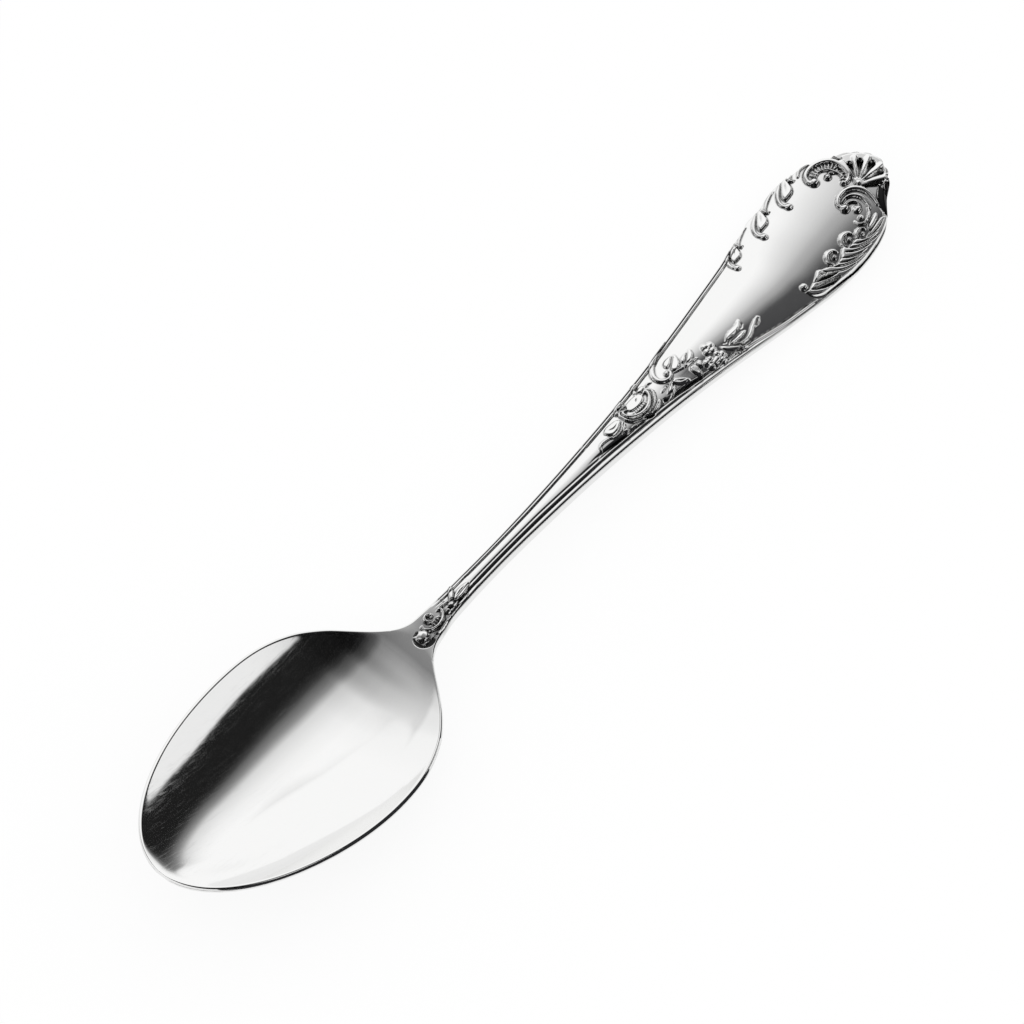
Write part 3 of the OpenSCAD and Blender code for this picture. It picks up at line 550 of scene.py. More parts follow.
def garland(r):
    # Large scroll that springs from the border
    r.cord([(128.0, 5.3), (126.2, 4.95), (124.4, 4.55), (122.9, 3.95), (121.6, 3.0), (120.85, 2.1),
            (120.6, 1.2), (120.85, 0.45), (121.5, 0.0), (122.3, -0.1), (123.0, 0.2), (123.2, 0.7),
            (122.7, 1.0)], 0.85, 1.2, (0.3, 0.6))
    r.knob((122.55, 0.75), 0.42, 1.1)
    # Leaves to the right of it
    r.pad([(123.5, 1.3), (123.5, 2.1), (124.1, 2.6), (125.1, 2.75), (126.2, 2.5), (125.3, 2.0),
           (124.4, 1.5)], 1.0, 0.4)
    r.pad([(123.8, 0.9), (124.9, 1.4), (125.9, 2.0), (126.7, 2.5), (126.4, 1.5), (125.9, 0.7), (125.2, 0.1),
           (124.4, -0.1), (123.8, 0.3)], 1.0, 0.4)
    r.pad([(126.0, 0.1), (126.1, 0.6), (126.9, 1.0), (128.3, 1.1), (127.3, 0.55), (126.6, 0.1)], 0.9, 0.3)
    r.pad([(126.3, -0.3), (127.3, 0.2), (128.3, 0.8), (129.1, 1.2), (128.8, 0.3), (128.2, -0.3),
           (127.4, -0.6)], 0.9, 0.3)
    r.cord([(123.6, 0.0), (124.8, -0.35), (126.0, -0.6), (127.2, -0.7), (128.4, -1.0)], 0.34, 0.9)
    # Leaves below it
    r.pad([(119.7, -1.8), (120.6, -1.3), (121.9, -0.85), (121.5, -1.5), (120.8, -2.0)], 0.9, 0.3)
    r.cord([(119.3, -2.6), (120.5, -2.3), (121.7, -1.6)], 0.3, 0.7)
    r.pad([(121.9, -0.8), (122.1, -1.6), (122.7, -2.3), (123.6, -2.6), (124.5, -2.7), (124.1, -2.0),
           (123.5, -1.3), (122.8, -0.7)], 1.0, 0.4)
    r.groove([(122.5, -1.2), (123.2, -1.9), (124.1, -2.4)], 0.28, 0.4)
    r.cord([(119.3, -0.9), (120.2, -0.7), (121.2, -0.7)], 0.35, 0.7)
    # Buds that hang from the stem
    r.pad([(125.9, -1.5), (125.8, -2.3), (126.0, -3.1), (126.4, -3.8), (126.9, -3.2), (127.2, -2.4),
           (127.1, -1.6), (126.5, -1.2)], 1.2, 0.45)
    r.groove([(126.4, -1.6), (126.4, -2.5), (126.5, -3.4)], 0.25, 0.4)
    r.pad([(127.4, -1.4), (127.4, -2.2), (127.8, -2.9), (128.3, -2.2), (128.2, -1.5)], 1.0, 0.35)
    # Blossoms
    r.blossom((131.1, -1.35), 1.15, 20)
    r.blossom((129.3, -3.25), 1.1, 50)
    r.blossom((131.2, -3.6), 1.15, 0)
    # Sunk ground between the garland and the border
    r.groove([(118.2, -2.3), (121.0, -2.75), (124.0, -3.3), (127.0, -3.9), (129.6, -4.4)],
             1.2, 0.5, (0.5, 0.5))
    r.groove([(131.2, -4.9), (132.8, -5.2), (134.4, -5.8)], 0.9, 0.5, (0.5, 0.4))
    # Leaves that point to the handle's end
    r.pad([(132.7, -2.3), (133.2, -2.8), (134.1, -3.6), (135.1, -4.5), (136.2, -5.7), (135.1, -5.2),
           (134.0, -4.4), (133.1, -3.5)], 1.3, 0.16, 0.85)
    r.pad([(134.2, -2.4), (135.2, -1.8), (136.6, -1.5), (138.0, -1.5), (139.1, -1.2), (138.6, -1.9),
           (137.7, -2.4), (136.4, -2.5), (135.3, -2.5)], 1.4, 0.16, 0.85)
    r.pad([(134.1, -3.3), (135.2, -2.9), (136.5, -2.9), (138.2, -3.4), (137.0, -3.75), (135.5, -3.7)],
          1.2, 0.16, 0.85)
    r.groove([(133.6, -2.3), (134.6, -2.75), (136.2, -2.85), (137.6, -2.75), (139.0, -2.1)], 0.5, 0.6)
    r.groove([(132.9, -4.3), (134.0, -5.1), (135.3, -5.7)], 0.7, 0.6)
    r.cord([(134.7, -3.7), (135.6, -4.3), (136.9, -4.6), (138.3, -4.4), (139.6, -3.8), (140.8, -3.35),
            (141.8, -3.15)], 0.62, 1.3, (0.5, 0.4))
    r.cord([(139.6, -4.0), (140.7, -4.0), (141.5, -3.75), (141.9, -3.3)], 0.26, 0.8, (0.5, 0.7))
    r.cord([(131.7, -4.7), (132.7, -4.75), (133.8, -5.0), (135.0, -5.7)], 0.3, 0.7)


def upper_border(r):
    for px, py, size in ((147.9, 5.6, 0.96), (155.7, 6.05, 1.0), (162.75, 6.35, 1.03)):
        put = placer(px, py, size)
        # Hook with its knob
        r.cord(put([(0.1, 0.1), (-0.35, 0.5), (-0.4, 1.3), (0.0, 2.1), (0.9, 2.9), (2.2, 3.6), (3.1, 4.0)]),
               0.6 * size, 0.75, (0.9, 0.2))
        r.knob(put([(0, 0)])[0], 0.66 * size, 1.0)
        # Plump leaf with a sharp lower edge
        r.pad(put([(0.45, 0.95), (0.55, 1.7), (1.1, 2.4), (2.2, 3.2), (3.3, 3.9), (3.9, 4.0), (3.75, 3.2),
                   (3.4, 2.2), (2.9, 1.4), (2.2, 1.0), (1.3, 0.95)]), 1.35, 0.55)
        r.groove(put([(1.7, 1.8), (2.5, 2.6), (3.4, 3.5)]), 0.35, 0.35)
        # Small curl behind it
        r.cord(put([(4.1, 3.8), (3.95, 2.9), (4.1, 2.4), (4.6, 2.3)]), 0.42 * size, 1.1)
        r.cord(put([(4.35, 2.9), (4.8, 3.3), (5.8, 3.8), (7.2, 4.2), (8.0, 4.2)]), 0.5 * size, 0.9)


def ribbed_scroll(r):
    # Outer cord, from the knob round to the shell
    r.cord([(168.5, 5.6), (168.3, 6.6), (168.8, 7.5), (169.8, 7.95), (171.0, 7.9), (172.1, 7.5),
            (173.1, 6.8), (173.75, 5.9), (174.0, 4.8), (173.95, 3.7), (173.6, 2.6), (173.0, 1.75),
            (172.3, 1.4), (171.6, 1.5)], 0.95, 1.25, (0.8, 0.7))
    r.knob((168.8, 5.65), 0.88, 1.5)
    r.knob((171.5, 1.7), 0.5, 1.2)
    # Rim outside the cord
    r.cord([(168.2, 8.6), (169.3, 9.15), (170.6, 9.0), (172.0, 8.5), (173.4, 7.6), (174.5, 6.5),
            (174.9, 5.0)], 0.55, 1.0, (0.6, 0.4))
    # Inner cord and its knob
    r.cord([(169.7, 6.2), (170.6, 6.3), (171.5, 5.9), (172.1, 5.2), (172.35, 4.3), (172.5, 3.4), (172.4, 2.5),
            (172.0, 2.1)], 0.42, 1.1, (0.6, 0.5))
    r.cord([(171.2, 4.75), (171.7, 4.7), (172.1, 4.0)], 0.4, 0.9)
    r.knob((170.9, 4.45), 0.62, 1.3)
    # Ribs between the two cords
    centre = np.array([170.6, 4.1])
    for a in np.linspace(112, -52, 14):
        r.cord([centre + 2.1 * direction(a), centre + 3.0 * direction(a)], 0.34, 0.8, (0.8, 0.8))


def veined_scroll(r):
    r.cord([(167.5, -0.9), (167.7, -0.05), (168.6, 0.55), (169.8, 0.7), (171.0, 0.35), (171.9, -0.45),
            (172.4, -1.6), (172.45, -2.8), (172.15, -4.1), (171.7, -5.2)], 0.95, 1.25, (0.7, 0.5))
    r.cord([(168.5, -0.35), (169.5, -0.3), (170.4, -0.75), (170.95, -1.6), (171.1, -2.5), (170.9, -3.5),
            (170.4, -4.7)], 0.75, 1.1, (0.5, 0.5))
    r.knob((167.75, -1.5), 0.8, 1.5)
    r.cord([(168.3, -1.2), (169.2, -1.35), (169.8, -2.0), (169.8, -2.8), (169.3, -3.5)], 0.5, 1.0, (0.5, 0.5))
    r.knob((168.85, -3.15), 0.75, 1.0)
    r.groove([(168.4, -3.1), (168.9, -2.8), (169.4, -3.1)], 0.3, 0.8)
    r.knob((168.0, -4.65), 0.5, 1.0)
    r.cord([(166.9, -4.3), (166.85, -5.1), (167.5, -5.6), (168.6, -5.55), (169.6, -5.1), (170.2, -4.4)],
           0.45, 1.1)
    r.pad([(167.0, -7.1), (167.5, -6.5), (168.4, -6.2), (169.6, -6.0), (170.3, -6.1), (169.8, -6.7),
           (169.0, -7.0), (167.9, -7.2)], 1.1, 0.4)
    r.cord([(170.6, -7.4), (171.6, -6.6), (172.5, -5.5), (172.9, -4.4)], 0.4, 1.0, (0.4, 0.4))
    r.cord([(171.6, -7.4), (172.6, -6.4), (173.4, -5.2)], 0.35, 0.8, (0.4, 0.4))


def lower_fringe(r):
    # Volutes
    for cx, cy, size in ((159.35, -5.55, 1.0), (163.45, -5.5, 1.05), (165.75, -6.6, 0.85)):
        put = placer(cx, cy, size)
        r.cord(put([(-1.2, -0.9), (-1.25, 0.0), (-0.8, 0.85), (0.1, 1.15), (0.95, 0.8), (1.15, 0.1)]),
               0.8 * size, 1.0, (0.7, 0.4))
        r.knob(put([(0.05, -0.05)])[0], 0.45 * size, 1.1)
    # Blades that sweep from the volutes to the edge, cut by fine lines
    r.pad([(151.2, -5.9), (152.2, -6.1), (154.0, -5.7), (155.6, -5.0), (156.4, -5.5), (157.4, -6.0),
           (158.3, -6.6), (160.2, -6.5), (161.6, -5.6), (162.4, -6.3), (164.4, -6.4), (165.2, -7.4),
           (166.8, -7.4), (169.8, -7.2), (170.8, -8.0), (169.0, -8.9), (166.5, -9.5), (163.0, -9.75),
           (159.5, -9.6), (156.0, -9.0), (153.0, -8.5), (151.5, -7.4)], 0.95, 0.35, 0.0, 0.08)
    for path, width, depth in (
            ([(156.1, -5.6), (156.3, -6.4), (157.2, -7.4), (158.6, -8.5), (160.6, -9.2)], 0.4, 1.3),
            ([(157.5, -5.9), (158.0, -6.9), (159.2, -8.0), (161.0, -8.9), (163.0, -9.3)], 0.4, 1.3),
            ([(158.8, -6.7), (159.6, -7.6), (160.9, -8.4), (162.6, -8.95)], 0.3, 0.9),
            ([(159.9, -6.8), (161.0, -7.8), (162.3, -8.5), (163.8, -8.9)], 0.34, 1.1),
            ([(161.2, -6.6), (162.1, -7.5), (163.4, -8.3), (165.0, -8.9)], 0.36, 1.1),
            ([(162.0, -6.0), (162.6, -7.0), (163.8, -7.9), (165.4, -8.6), (167.0, -9.0)], 0.42, 1.3),
            ([(163.2, -6.6), (164.0, -7.4), (165.4, -8.1), (167.4, -8.5)], 0.3, 1.0),
            ([(164.3, -6.4), (164.9, -7.2), (166.3, -7.9), (168.2, -8.1), (169.9, -7.8)], 0.42, 1.3),
            ([(153.5, -8.7), (156.0, -9.15), (159.5, -9.7), (163.0, -9.8), (166.5, -9.5), (169.5, -8.8)],
             0.4, 1.0)):
        r.groove(path, width, depth, (0.5, 0.35))
    r.carve([(153.6, -6.0), (155.5, -6.7), (157.5, -7.8)], 1.25)
    r.carve([(152.2, -6.6), (154.5, -7.8), (157.0, -8.7)], 1.25)
    r.cord([(160.0, -6.6), (160.9, -6.2), (161.6, -5.7)], 0.4, 1.0)
    # First volute
    r.knob((151.75, -5.25), 0.7, 1.4)


def shell(r):
    heart = np.array(SHELL_HEART)
    # Fan with a scalloped end that runs past the edge of the mesh
    r.pad([(172.6, 0.4), (173.4, 1.9), (174.4, 3.6), (175.2, 5.2), (176.3, 4.7), (177.6, 3.4), (178.3, 2.2),
           (178.8, 0.8), (178.9, -0.4), (178.4, -1.5), (177.6, -2.6), (176.6, -3.4), (175.4, -3.7),
           (174.4, -3.0), (173.4, -1.9), (172.6, -1.2)], 0.95, 0.55, 0.15)
    # Round ribs, by angle and width
    for angle, wide in ((72, 1.35), (46, 1.5), (20, 1.6), (-9, 1.6), (-38, 1.7)):
        ray = direction(angle)
        r.cord([heart + 0.8 * ray, heart + 3.2 * ray, heart + 5.0 * ray], wide, 1.35, (0.25, 0.9))
    # Hollows between them, by angle, start, end and width
    for angle, first, last, wide in (
            (84, 3.6, 4.4, 0.3), (59, 1.2, 3.9, 0.52), (34, 1.1, 4.1, 0.58), (6, 1.1, 4.3, 0.6),
            (-24, 1.1, 4.2, 0.55)):
        ray = direction(angle)
        r.pit(heart + first * ray, heart + last * ray, 0.18, 1.05 * wide, 1.7)
    r.knob(SHELL_HEART, 0.5, 1.3)
    # Deep gap between the shell and the lower blades
    r.carve([(174.6, -3.6), (173.8, -4.8), (172.6, -6.2), (171.2, -7.9)], 2.6)
    r.groove([(176.8, -3.4), (175.5, -4.4), (174.3, -5.4), (173.0, -6.6), (171.8, -7.8)],
             1.4, 0.9, (0.5, 0.7))


def relief(x, y):
    """Height of the whole relief above the bare surface."""
    r = Relief(x, y)
    neck_ornament(r)
    cartouche(r)
    garland(r)
    upper_border(r)
    ribbed_scroll(r)
    veined_scroll(r)
    lower_fringe(r)
    shell(r)
    return r.h


# Painted shade in the deep parts of the relief, which darkens the steel's colour there

GRID_STEP = 0.1
GRID_X = (56, 181)
GRID_Y = (-12, 12)
BLUR_STEPS = 8
BLUR_WIDTH = 0.34
# Depth below the surroundings where the painted shade begins, and the depth over which it grows to full
RECESS_START = 0.035
RECESS_SPAN = 0.16
# Strength of the painted shade in the thread's fine grooves
GROOVE_SHADE = 1.3


def recess_shade(x, y):
    """How far each point lies below its surroundings or the bare surface, from 0 to 1, as the level of
    painted shade there.
    """
    gx, gy = np.arange(*GRID_X, GRID_STEP), np.arange(*GRID_Y, GRID_STEP)
    h = relief(*np.meshgrid(gx, gy, indexing="ij"))
    span = np.arange(-BLUR_STEPS, BLUR_STEPS + 1)
    bell = np.exp(-(span * GRID_STEP / BLUR_WIDTH) ** 2)
    bell /= bell.sum()
    mean = h
    for axis in (0, 1):
        mean = np.apply_along_axis(np.convolve, axis, mean, bell, "same")
    sunk = np.maximum(mean - h, -h)
    # Read from the grid between its points
    i = np.clip((x - gx[0]) / GRID_STEP, 0, len(gx) - 2)
    j = np.clip((y - gy[0]) / GRID_STEP, 0, len(gy) - 2)
    a, b = i.astype(int), j.astype(int)
    fx, fy = i - a, j - b
    value = ((sunk[a, b] * (1 - fy) + sunk[a, b + 1] * fy) * (1 - fx)
             + (sunk[a + 1, b] * (1 - fy) + sunk[a + 1, b + 1] * fy) * fx)
    return np.clip((value - RECESS_START) / RECESS_SPAN, 0, 1)


# Mesh, in rows along X

# Rows over the bowl's front end, which turn from the first angle to 90 degrees
TIP_ROWS = 60
FIRST_TURN = 4
BELLY_ROWS = 45
END_ROWS = 80
# Points across the bowl and the handle's middle, the stem, and the handle's end
BOWL_POINTS = 121
STEM_POINTS = 81
HEAD_POINTS = 151
# The stretches from the neck on: first row, end, step and points across
STRETCHES = (
    (57.15, 71.6, 0.15, STEM_POINTS), (72.2, 103, 1.0, STEM_POINTS), (103.2, 144, 0.16, BOWL_POINTS),
    (144.3, 146.4, 0.5, BOWL_POINTS), (146.5, STRAIGHT_END, 0.135, HEAD_POINTS))
EDGE_STEPS = 8
CROWDING = 0.3
UNDER_EVERY = 4
UNDER_POINTS = 25
JUST_INSIDE = 1 - 1e-6
# Scallops of the shell's end: angle from the shell's heart, and half width, in degrees
SHELL_LOBES = ((58, 14), (40, 11), (20, 12), (-3, 13), (-30, 14), (-58, 14))
LOBE_DEPTH = 0.6
FAN_HALF = 6.3
FAN_REACH = 5.6


def rows_of_mesh():
    """Place along X, bow of the row at its middle, and points across, for each row."""
    rows = []
    for i in range(TIP_ROWS):
        turn = FIRST_TURN + (90 - FIRST_TURN) * i / (TIP_ROWS - 1)
        rows.append((BELLY_X * (1 - math.cos(math.radians(turn))), 0.0, BOWL_POINTS))
    rows += [(x, 0.0, BOWL_POINTS) for x in np.linspace(BELLY_X, NECK_X - 3, BELLY_ROWS)[1:]]
    for start, end, step, count in STRETCHES:
        rows += [(x, 0.0, count) for x in np.arange(start, end, step)]
    for i in range(END_ROWS):
        s = i / (END_ROWS - 1)
        rows.append((STRAIGHT_END + (SHOULDER_X - STRAIGHT_END) * s, SHELL_REACH * s, HEAD_POINTS))
    return rows


def edge_round(x):
    """Radius of the rounded upper edge."""
    return EDGE_ROUND + (RIM_ROUND - EDGE_ROUND) * (1 - ease(NECK_X - 12, NECK_X, x))


def across(n, w, soft):
    """Shares of the half width from +1 to -1, with several steps over each rounded edge."""
    turn = np.radians(90 * np.arange(EDGE_STEPS + 1) / EDGE_STEPS)
    edge = 1 - soft * (1 - np.cos(turn)) / w
    inner = np.linspace(1, -1, n - 2 * EDGE_STEPS)
    inner = edge[-1] * inner * (1 + CROWDING * (1 - inner ** 2))
    return np.concatenate([edge[:-1], inner, -edge[:-1][::-1]])


def fluting(t, bow):
    """Scallops of the shell's end, along X, for shares of the half width."""
    angle = np.degrees(np.arctan2(FAN_HALF * t - SHELL_HEART[1], FAN_REACH * (1 - t * t) + 0.01))
    lobes = np.max([1 - ((angle - at) / wide) ** 2 for at, wide in SHELL_LOBES], axis=0)
    return LOBE_DEPTH * (bow / SHELL_REACH) ** 3 * np.clip(lobes, -0.3, 1) * (1 - t ** 8)


def row_points(x, bow, t):
    """X and Y of a row's points on the even outline."""
    return x + bow * (1 - t * t) + fluting(t, bow), t * float(half_width(x))


def numbered(counts, first=0):
    """Vertex numbers of each row."""
    starts = first + np.concatenate([[0], np.cumsum(counts)])[:-1]
    return [list(range(start, start + count)) for start, count in zip(starts, counts)]


def front_surface(rows):
    """Points of the front, and how much painted shade each one has."""
    xs, ys, bases = [], [], []
    for x, bow, n in rows:
        px, py = row_points(x, bow, across(n, float(half_width(x)), float(edge_round(x))))
        xs.append(px)
        ys.append(py)
        bases.append(np.full(n, x))
    gx, gy, base = np.concatenate(xs), np.concatenate(ys), np.concatenate(bases)
    real_y = wider(base, gy)
    z = bare_top(gx, gy) + relief(gx, real_y)
    soft = edge_round(base)
    d = np.clip(half_width(base) - np.abs(gy), 0, soft)
    z -= soft - np.sqrt(np.maximum(0, soft ** 2 - (soft - d) ** 2))
    # Painted shade along the thread's fine grooves, joined with the painted shade of the relief's hollows
    shade = np.clip(GROOVE_SHADE * thread_grooves(gx, gy), 0, 1) ** 1.5
    return np.stack([gx, real_y, z], 1), np.maximum(recess_shade(gx, real_y), shade)


def back_surface(rows):
    """Points of the back, all rows after one another."""
    t = np.linspace(1, -1, UNDER_POINTS)
    out = []
    for x, bow, _ in rows:
        px, py = row_points(x, bow, t)
        pz = under(px, py * JUST_INSIDE)
        pz[0] = pz[-1] = min(pz[0], float(rim(x)) - float(edge_height(x)))
        out.append(np.stack([px, wider(x, py), pz], 1))
    return np.concatenate(out)


def strip(a, b):
    """Faces between two rows of vertex numbers, which may differ in length."""
    m, n = len(a) - 1, len(b) - 1
    if m == n:
        return [(a[i], a[i + 1], b[i + 1], b[i]) for i in range(m)]
    out = []
    i = j = 0
    while i < m or j < n:
        if j >= n or (i < m and (i + 1) * n <= (j + 1) * m):
            out.append((a[i], a[i + 1], b[j]))
            i += 1
        else:
            out.append((a[i], b[j + 1], b[j]))
            j += 1
    return out


def spoon_mesh():
    """Vertices, faces, how much painted shade each vertex has, and the number of the walls' first face."""
    rows = rows_of_mesh()
    back_rows = rows[::UNDER_EVERY]
    if (len(rows) - 1) % UNDER_EVERY:
        back_rows.append(rows[-1])
    top, shade = front_surface(rows)
    back = back_surface(back_rows)
    above = numbered([n for x, bow, n in rows])
    below = numbered([UNDER_POINTS] * len(back_rows), len(top))
    faces = []
    for a, b in zip(above[:-1], above[1:]):
        faces += strip(a, b)
    for a, b in zip(below[:-1], below[1:]):
        faces += [f[::-1] for f in strip(a, b)]
    first_wall = len(faces)
    faces += strip([row[0] for row in below], [row[0] for row in above])
    faces += strip([row[-1] for row in above], [row[-1] for row in below])
    faces += strip(below[0], above[0])
    faces += strip(above[-1], below[-1])
    verts = np.concatenate([top, back])
    verts[:, 0] -= MIDDLE
    return verts, faces, np.concatenate([shade, np.zeros(len(back))]), first_wall


def make_mesh(name, verts, faces, material):
    """Smooth mesh object in the scene."""
    mesh = bpy.data.meshes.new(name)
    mesh.from_pydata([tuple(p) for p in verts], [], faces)
    mesh.update()
    mesh.materials.append(material)
    mesh.polygons.foreach_set("use_smooth", [True] * len(mesh.polygons))
    obj = bpy.data.objects.new(name, mesh)
    bpy.context.scene.collection.objects.link(obj)
    return obj


class Nodes:
    """Short forms for the nodes of one material or world."""

    def __init__(self, owner):
        self.owner = owner
        owner.use_nodes = True
        self.tree = owner.node_tree
        self.tree.nodes.clear()

    def add(self, kind):
        return self.tree.nodes.new("ShaderNode" + kind)

    def link(self, value, socket):
        """Gives a socket a link or a fixed value."""
        if isinstance(value, bpy.types.NodeSocket):
            self.tree.links.new(value, socket)
        else:
            socket.default_value = value

    def math(self, operation, *values):
        node = self.add("Math")
        node.operation = operation
        for value, socket in zip(values, node.inputs):
            self.link(value, socket)
        return node.outputs[0]

    def times(self, first, second):
        return self.math("MULTIPLY", first, second)

    def less(self, first, second):
        return self.math("SUBTRACT", first, second)

    def rest(self, value):
        """1 less a value."""
        return self.less(1.0, value)

    def between(self, value, low, high, ends=(0.0, 1.0), kind="LINEAR"):
        """The first end below low, the second above high, and a passage between them."""
        node = self.add("MapRange")
        node.interpolation_type = kind
        self.link(value, node.inputs["Value"])
        for name, number in zip(("From Min", "From Max", "To Min", "To Max"), (low, high, *ends)):
            node.inputs[name].default_value = number
        return node.outputs["Result"]

    def smooth(self, value, low, high):
        """0 below low, 1 above high, with a soft passage between them."""
        return self.between(value, low, high, kind="SMOOTHSTEP")

    def ramp(self, value, stops):
        """Grey level for a value, from stops of value and level."""
        low, high = stops[0][0], stops[-1][0]
        node = self.add("ValToRGB")
        self.link(self.math("DIVIDE", self.less(value, low), high - low), node.inputs[0])
        marks = node.color_ramp.elements
        while len(marks) < len(stops):
            marks.new(0.5)
        for mark, (at, level) in zip(marks, stops):
            mark.position = (at - low) / (high - low)
            mark.color = (level, level, level, 1)
        return node.outputs[0]

    def place(self, output):
        """The three coordinates of a texture coordinate output."""
        split = self.add("SeparateXYZ")
        self.tree.links.new(self.add("TexCoord").outputs[output], split.inputs[0])
        return split.outputs

    def ray(self, name):
        return self.add("LightPath").outputs[name]

    def mix(self, factor, first, second):
        node = self.add("MixShader")
        for value, socket in zip((factor, first, second), node.inputs):
            self.link(value, socket)
        return node.outputs[0]

    def shader(self, kind, **values):
        """Shader node; an underscore in a name stands for the space in the socket's name."""
        node = self.add(kind)
        for name, value in values.items():
            self.link(value, node.inputs[name.replace("_", " ")])
        return node.outputs[0]

    def glow(self, colour, strength=1.0):
        return self.shader("Emission", Color=colour, Strength=strength)

    def finish(self, surface, kind="OutputMaterial"):
        """Gives back the material or world, with this surface."""
        self.tree.links.new(surface, self.add(kind).inputs["Surface"])
        return self.owner


WHITE = (1, 1, 1, 1)

# Steel, with fine scratches: their turn in degrees, and noise cells per metre along and across
SCRATCHES = ((50, 300, 3500), (-35, 350, 3000), (5, 250, 3800))
SCRATCH_CELLS_IN_Z = 40
SCRATCH_LEVELS = (0.58, 0.78)
ROUGHNESS = (0.06, 0.13)
POLISHED = (0.93, 0.93, 0.925, 1)
# Colour of the painted shade in the relief's hollows and the thread's grooves
PAINTED_SHADE = (0.05, 0.05, 0.05, 1)


def scratches(n, where, turn, long_cells, cross_cells):
    """1 on fine marks in one direction, 0 beside them."""
    grid = n.add("Mapping")
    grid.inputs["Rotation"].default_value = (0, 0, math.radians(turn))
    grid.inputs["Scale"].default_value = (long_cells, cross_cells, SCRATCH_CELLS_IN_Z)
    n.tree.links.new(where, grid.inputs["Vector"])
    noise = n.add("TexNoise")
    noise.inputs["Scale"].default_value = 1.0
    noise.inputs["Detail"].default_value = 1.0
    n.tree.links.new(grid.outputs["Vector"], noise.inputs["Vector"])
    return n.between(noise.outputs["Fac"], *SCRATCH_LEVELS)


def steel_material():
    """Polished steel, with painted shade in the deep parts of the relief and in the thread's grooves."""
    n = Nodes(bpy.data.materials.new("polished_steel"))
    where = n.add("TexCoord").outputs["Object"]
    marks, *others = [scratches(n, where, *kind) for kind in SCRATCHES]
    for other in others:
        marks = n.math("MAXIMUM", marks, other)
    # Painted shade: a vertex attribute mixes the steel's colour towards dark in hollows and grooves
    deep = n.add("Attribute")
    deep.attribute_name = "recess_shade"
    tint = n.add("Mix")
    tint.data_type = "RGBA"
    tint.inputs["A"].default_value = POLISHED
    tint.inputs["B"].default_value = PAINTED_SHADE
    n.tree.links.new(deep.outputs["Fac"], tint.inputs["Factor"])
    rough = n.between(marks, 0.0, 1.0, ROUGHNESS)
    colour = tint.outputs["Result"]
    return n.finish(n.shader("BsdfPrincipled", Base_Color=colour, Metallic=1.0, Roughness=rough))


points, polygons, painted_shade_levels, first_wall = spoon_mesh()
low = points[:, 2].min()
points[:, 2] -= low
spoon = make_mesh("spoon_visual", points / 1000.0, polygons, steel_material())
# The walls stay flat, so that their lower edges are sharp
spoon.data.polygons.foreach_set("use_smooth", [i < first_wall for i in range(len(polygons))])
# Level of painted shade at each vertex, which the steel's material reads
spoon.data.attributes.new("recess_shade", "FLOAT", "POINT").data.foreach_set("value", painted_shade_levels)
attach(spoon, "root")
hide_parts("spoon")


# Floor and room. Lengths are in metres from here on.

FLOOR_HALF = 3
FLOOR_Z = -0.0002
FLOOR_COLOUR = (0.9, 0.9, 0.9, 1)
FLOOR_GLOW = 0.86
SHADOW_SHARE = 0.15


def plane(name, corners, material):
    """Flat stage piece."""
    obj = make_mesh(name, corners, [tuple(range(len(corners)))], material)
    return obj


def flat_corners(x0, x1, y0, y1, z):
    """Corners of a level rectangle."""
    return [(x0, y0, z), (x1, y0, z), (x1, y1, z), (x0, y1, z)]


def floor_material():
    """Pale floor: white with a faint shadow to the camera, and an even glow in the steel."""
    n = Nodes(bpy.data.materials.new("pale_floor"))
    pale = n.shader("BsdfDiffuse", Color=FLOOR_COLOUR)
    lit = n.mix(n.ray("Is Glossy Ray"), pale, n.glow(WHITE, FLOOR_GLOW))
    white = n.mix(SHADOW_SHARE, n.glow(WHITE), n.shader("BsdfDiffuse", Color=WHITE))
    return n.finish(n.mix(n.ray("Is Camera Ray"), lit, white))


plane("floor", flat_corners(-FLOOR_HALF, FLOOR_HALF, -FLOOR_HALF, FLOOR_HALF, FLOOR_Z), floor_material())

# Directions in the room are slopes: u is +X over height and v is +Y over height
LEAST_HEIGHT = 0.02
# The screen's upper edge climbs ahead of the first u up to the second, and behind the third
AHEAD_START, AHEAD_END, BEHIND_START = 0.5, 4.6, 0.2
AHEAD_POWER, BEHIND_POWER = 1.75, 1.6
AHEAD_CLIMB, BEHIND_CLIMB = 0.19, 0.35
SCREEN_SHIFT = 0.16
# Its lower edge is a parabola in u, which starts at u = -0.1
LOW_EDGE_MIDDLE, LOW_EDGE_BEND, LOW_EDGE_V = 0.9, 0.15, 0.925
BELOW_LEVEL = 0.88
# Near the ground it is dark again, on the -Y side of a slanting line
GROUND_V = -1.7
GROUND_SLANT = -0.45
GROUND_DARK = 0.97
# Levels across the screen's upper edge, and of the whole room by the direction's X
SCREEN_STOPS = [
    (-0.3, 0.012), (-0.24, 0.02), (-0.17, 0.049), (-0.11, 0.137), (-0.05, 0.21), (0.0, 0.304),
    (0.06, 0.553), (0.1, 0.73), (0.2, 0.82), (0.35, 0.93), (0.6, 1.0)]
FALL_STOPS = [
    (-1.0, 0.9), (-0.75, 0.8), (-0.6, 0.4), (-0.45, 0.17), (-0.3, 0.27), (-0.155, 0.56), (0.0, 0.83),
    (0.15, 0.96), (0.35, 1.0)]


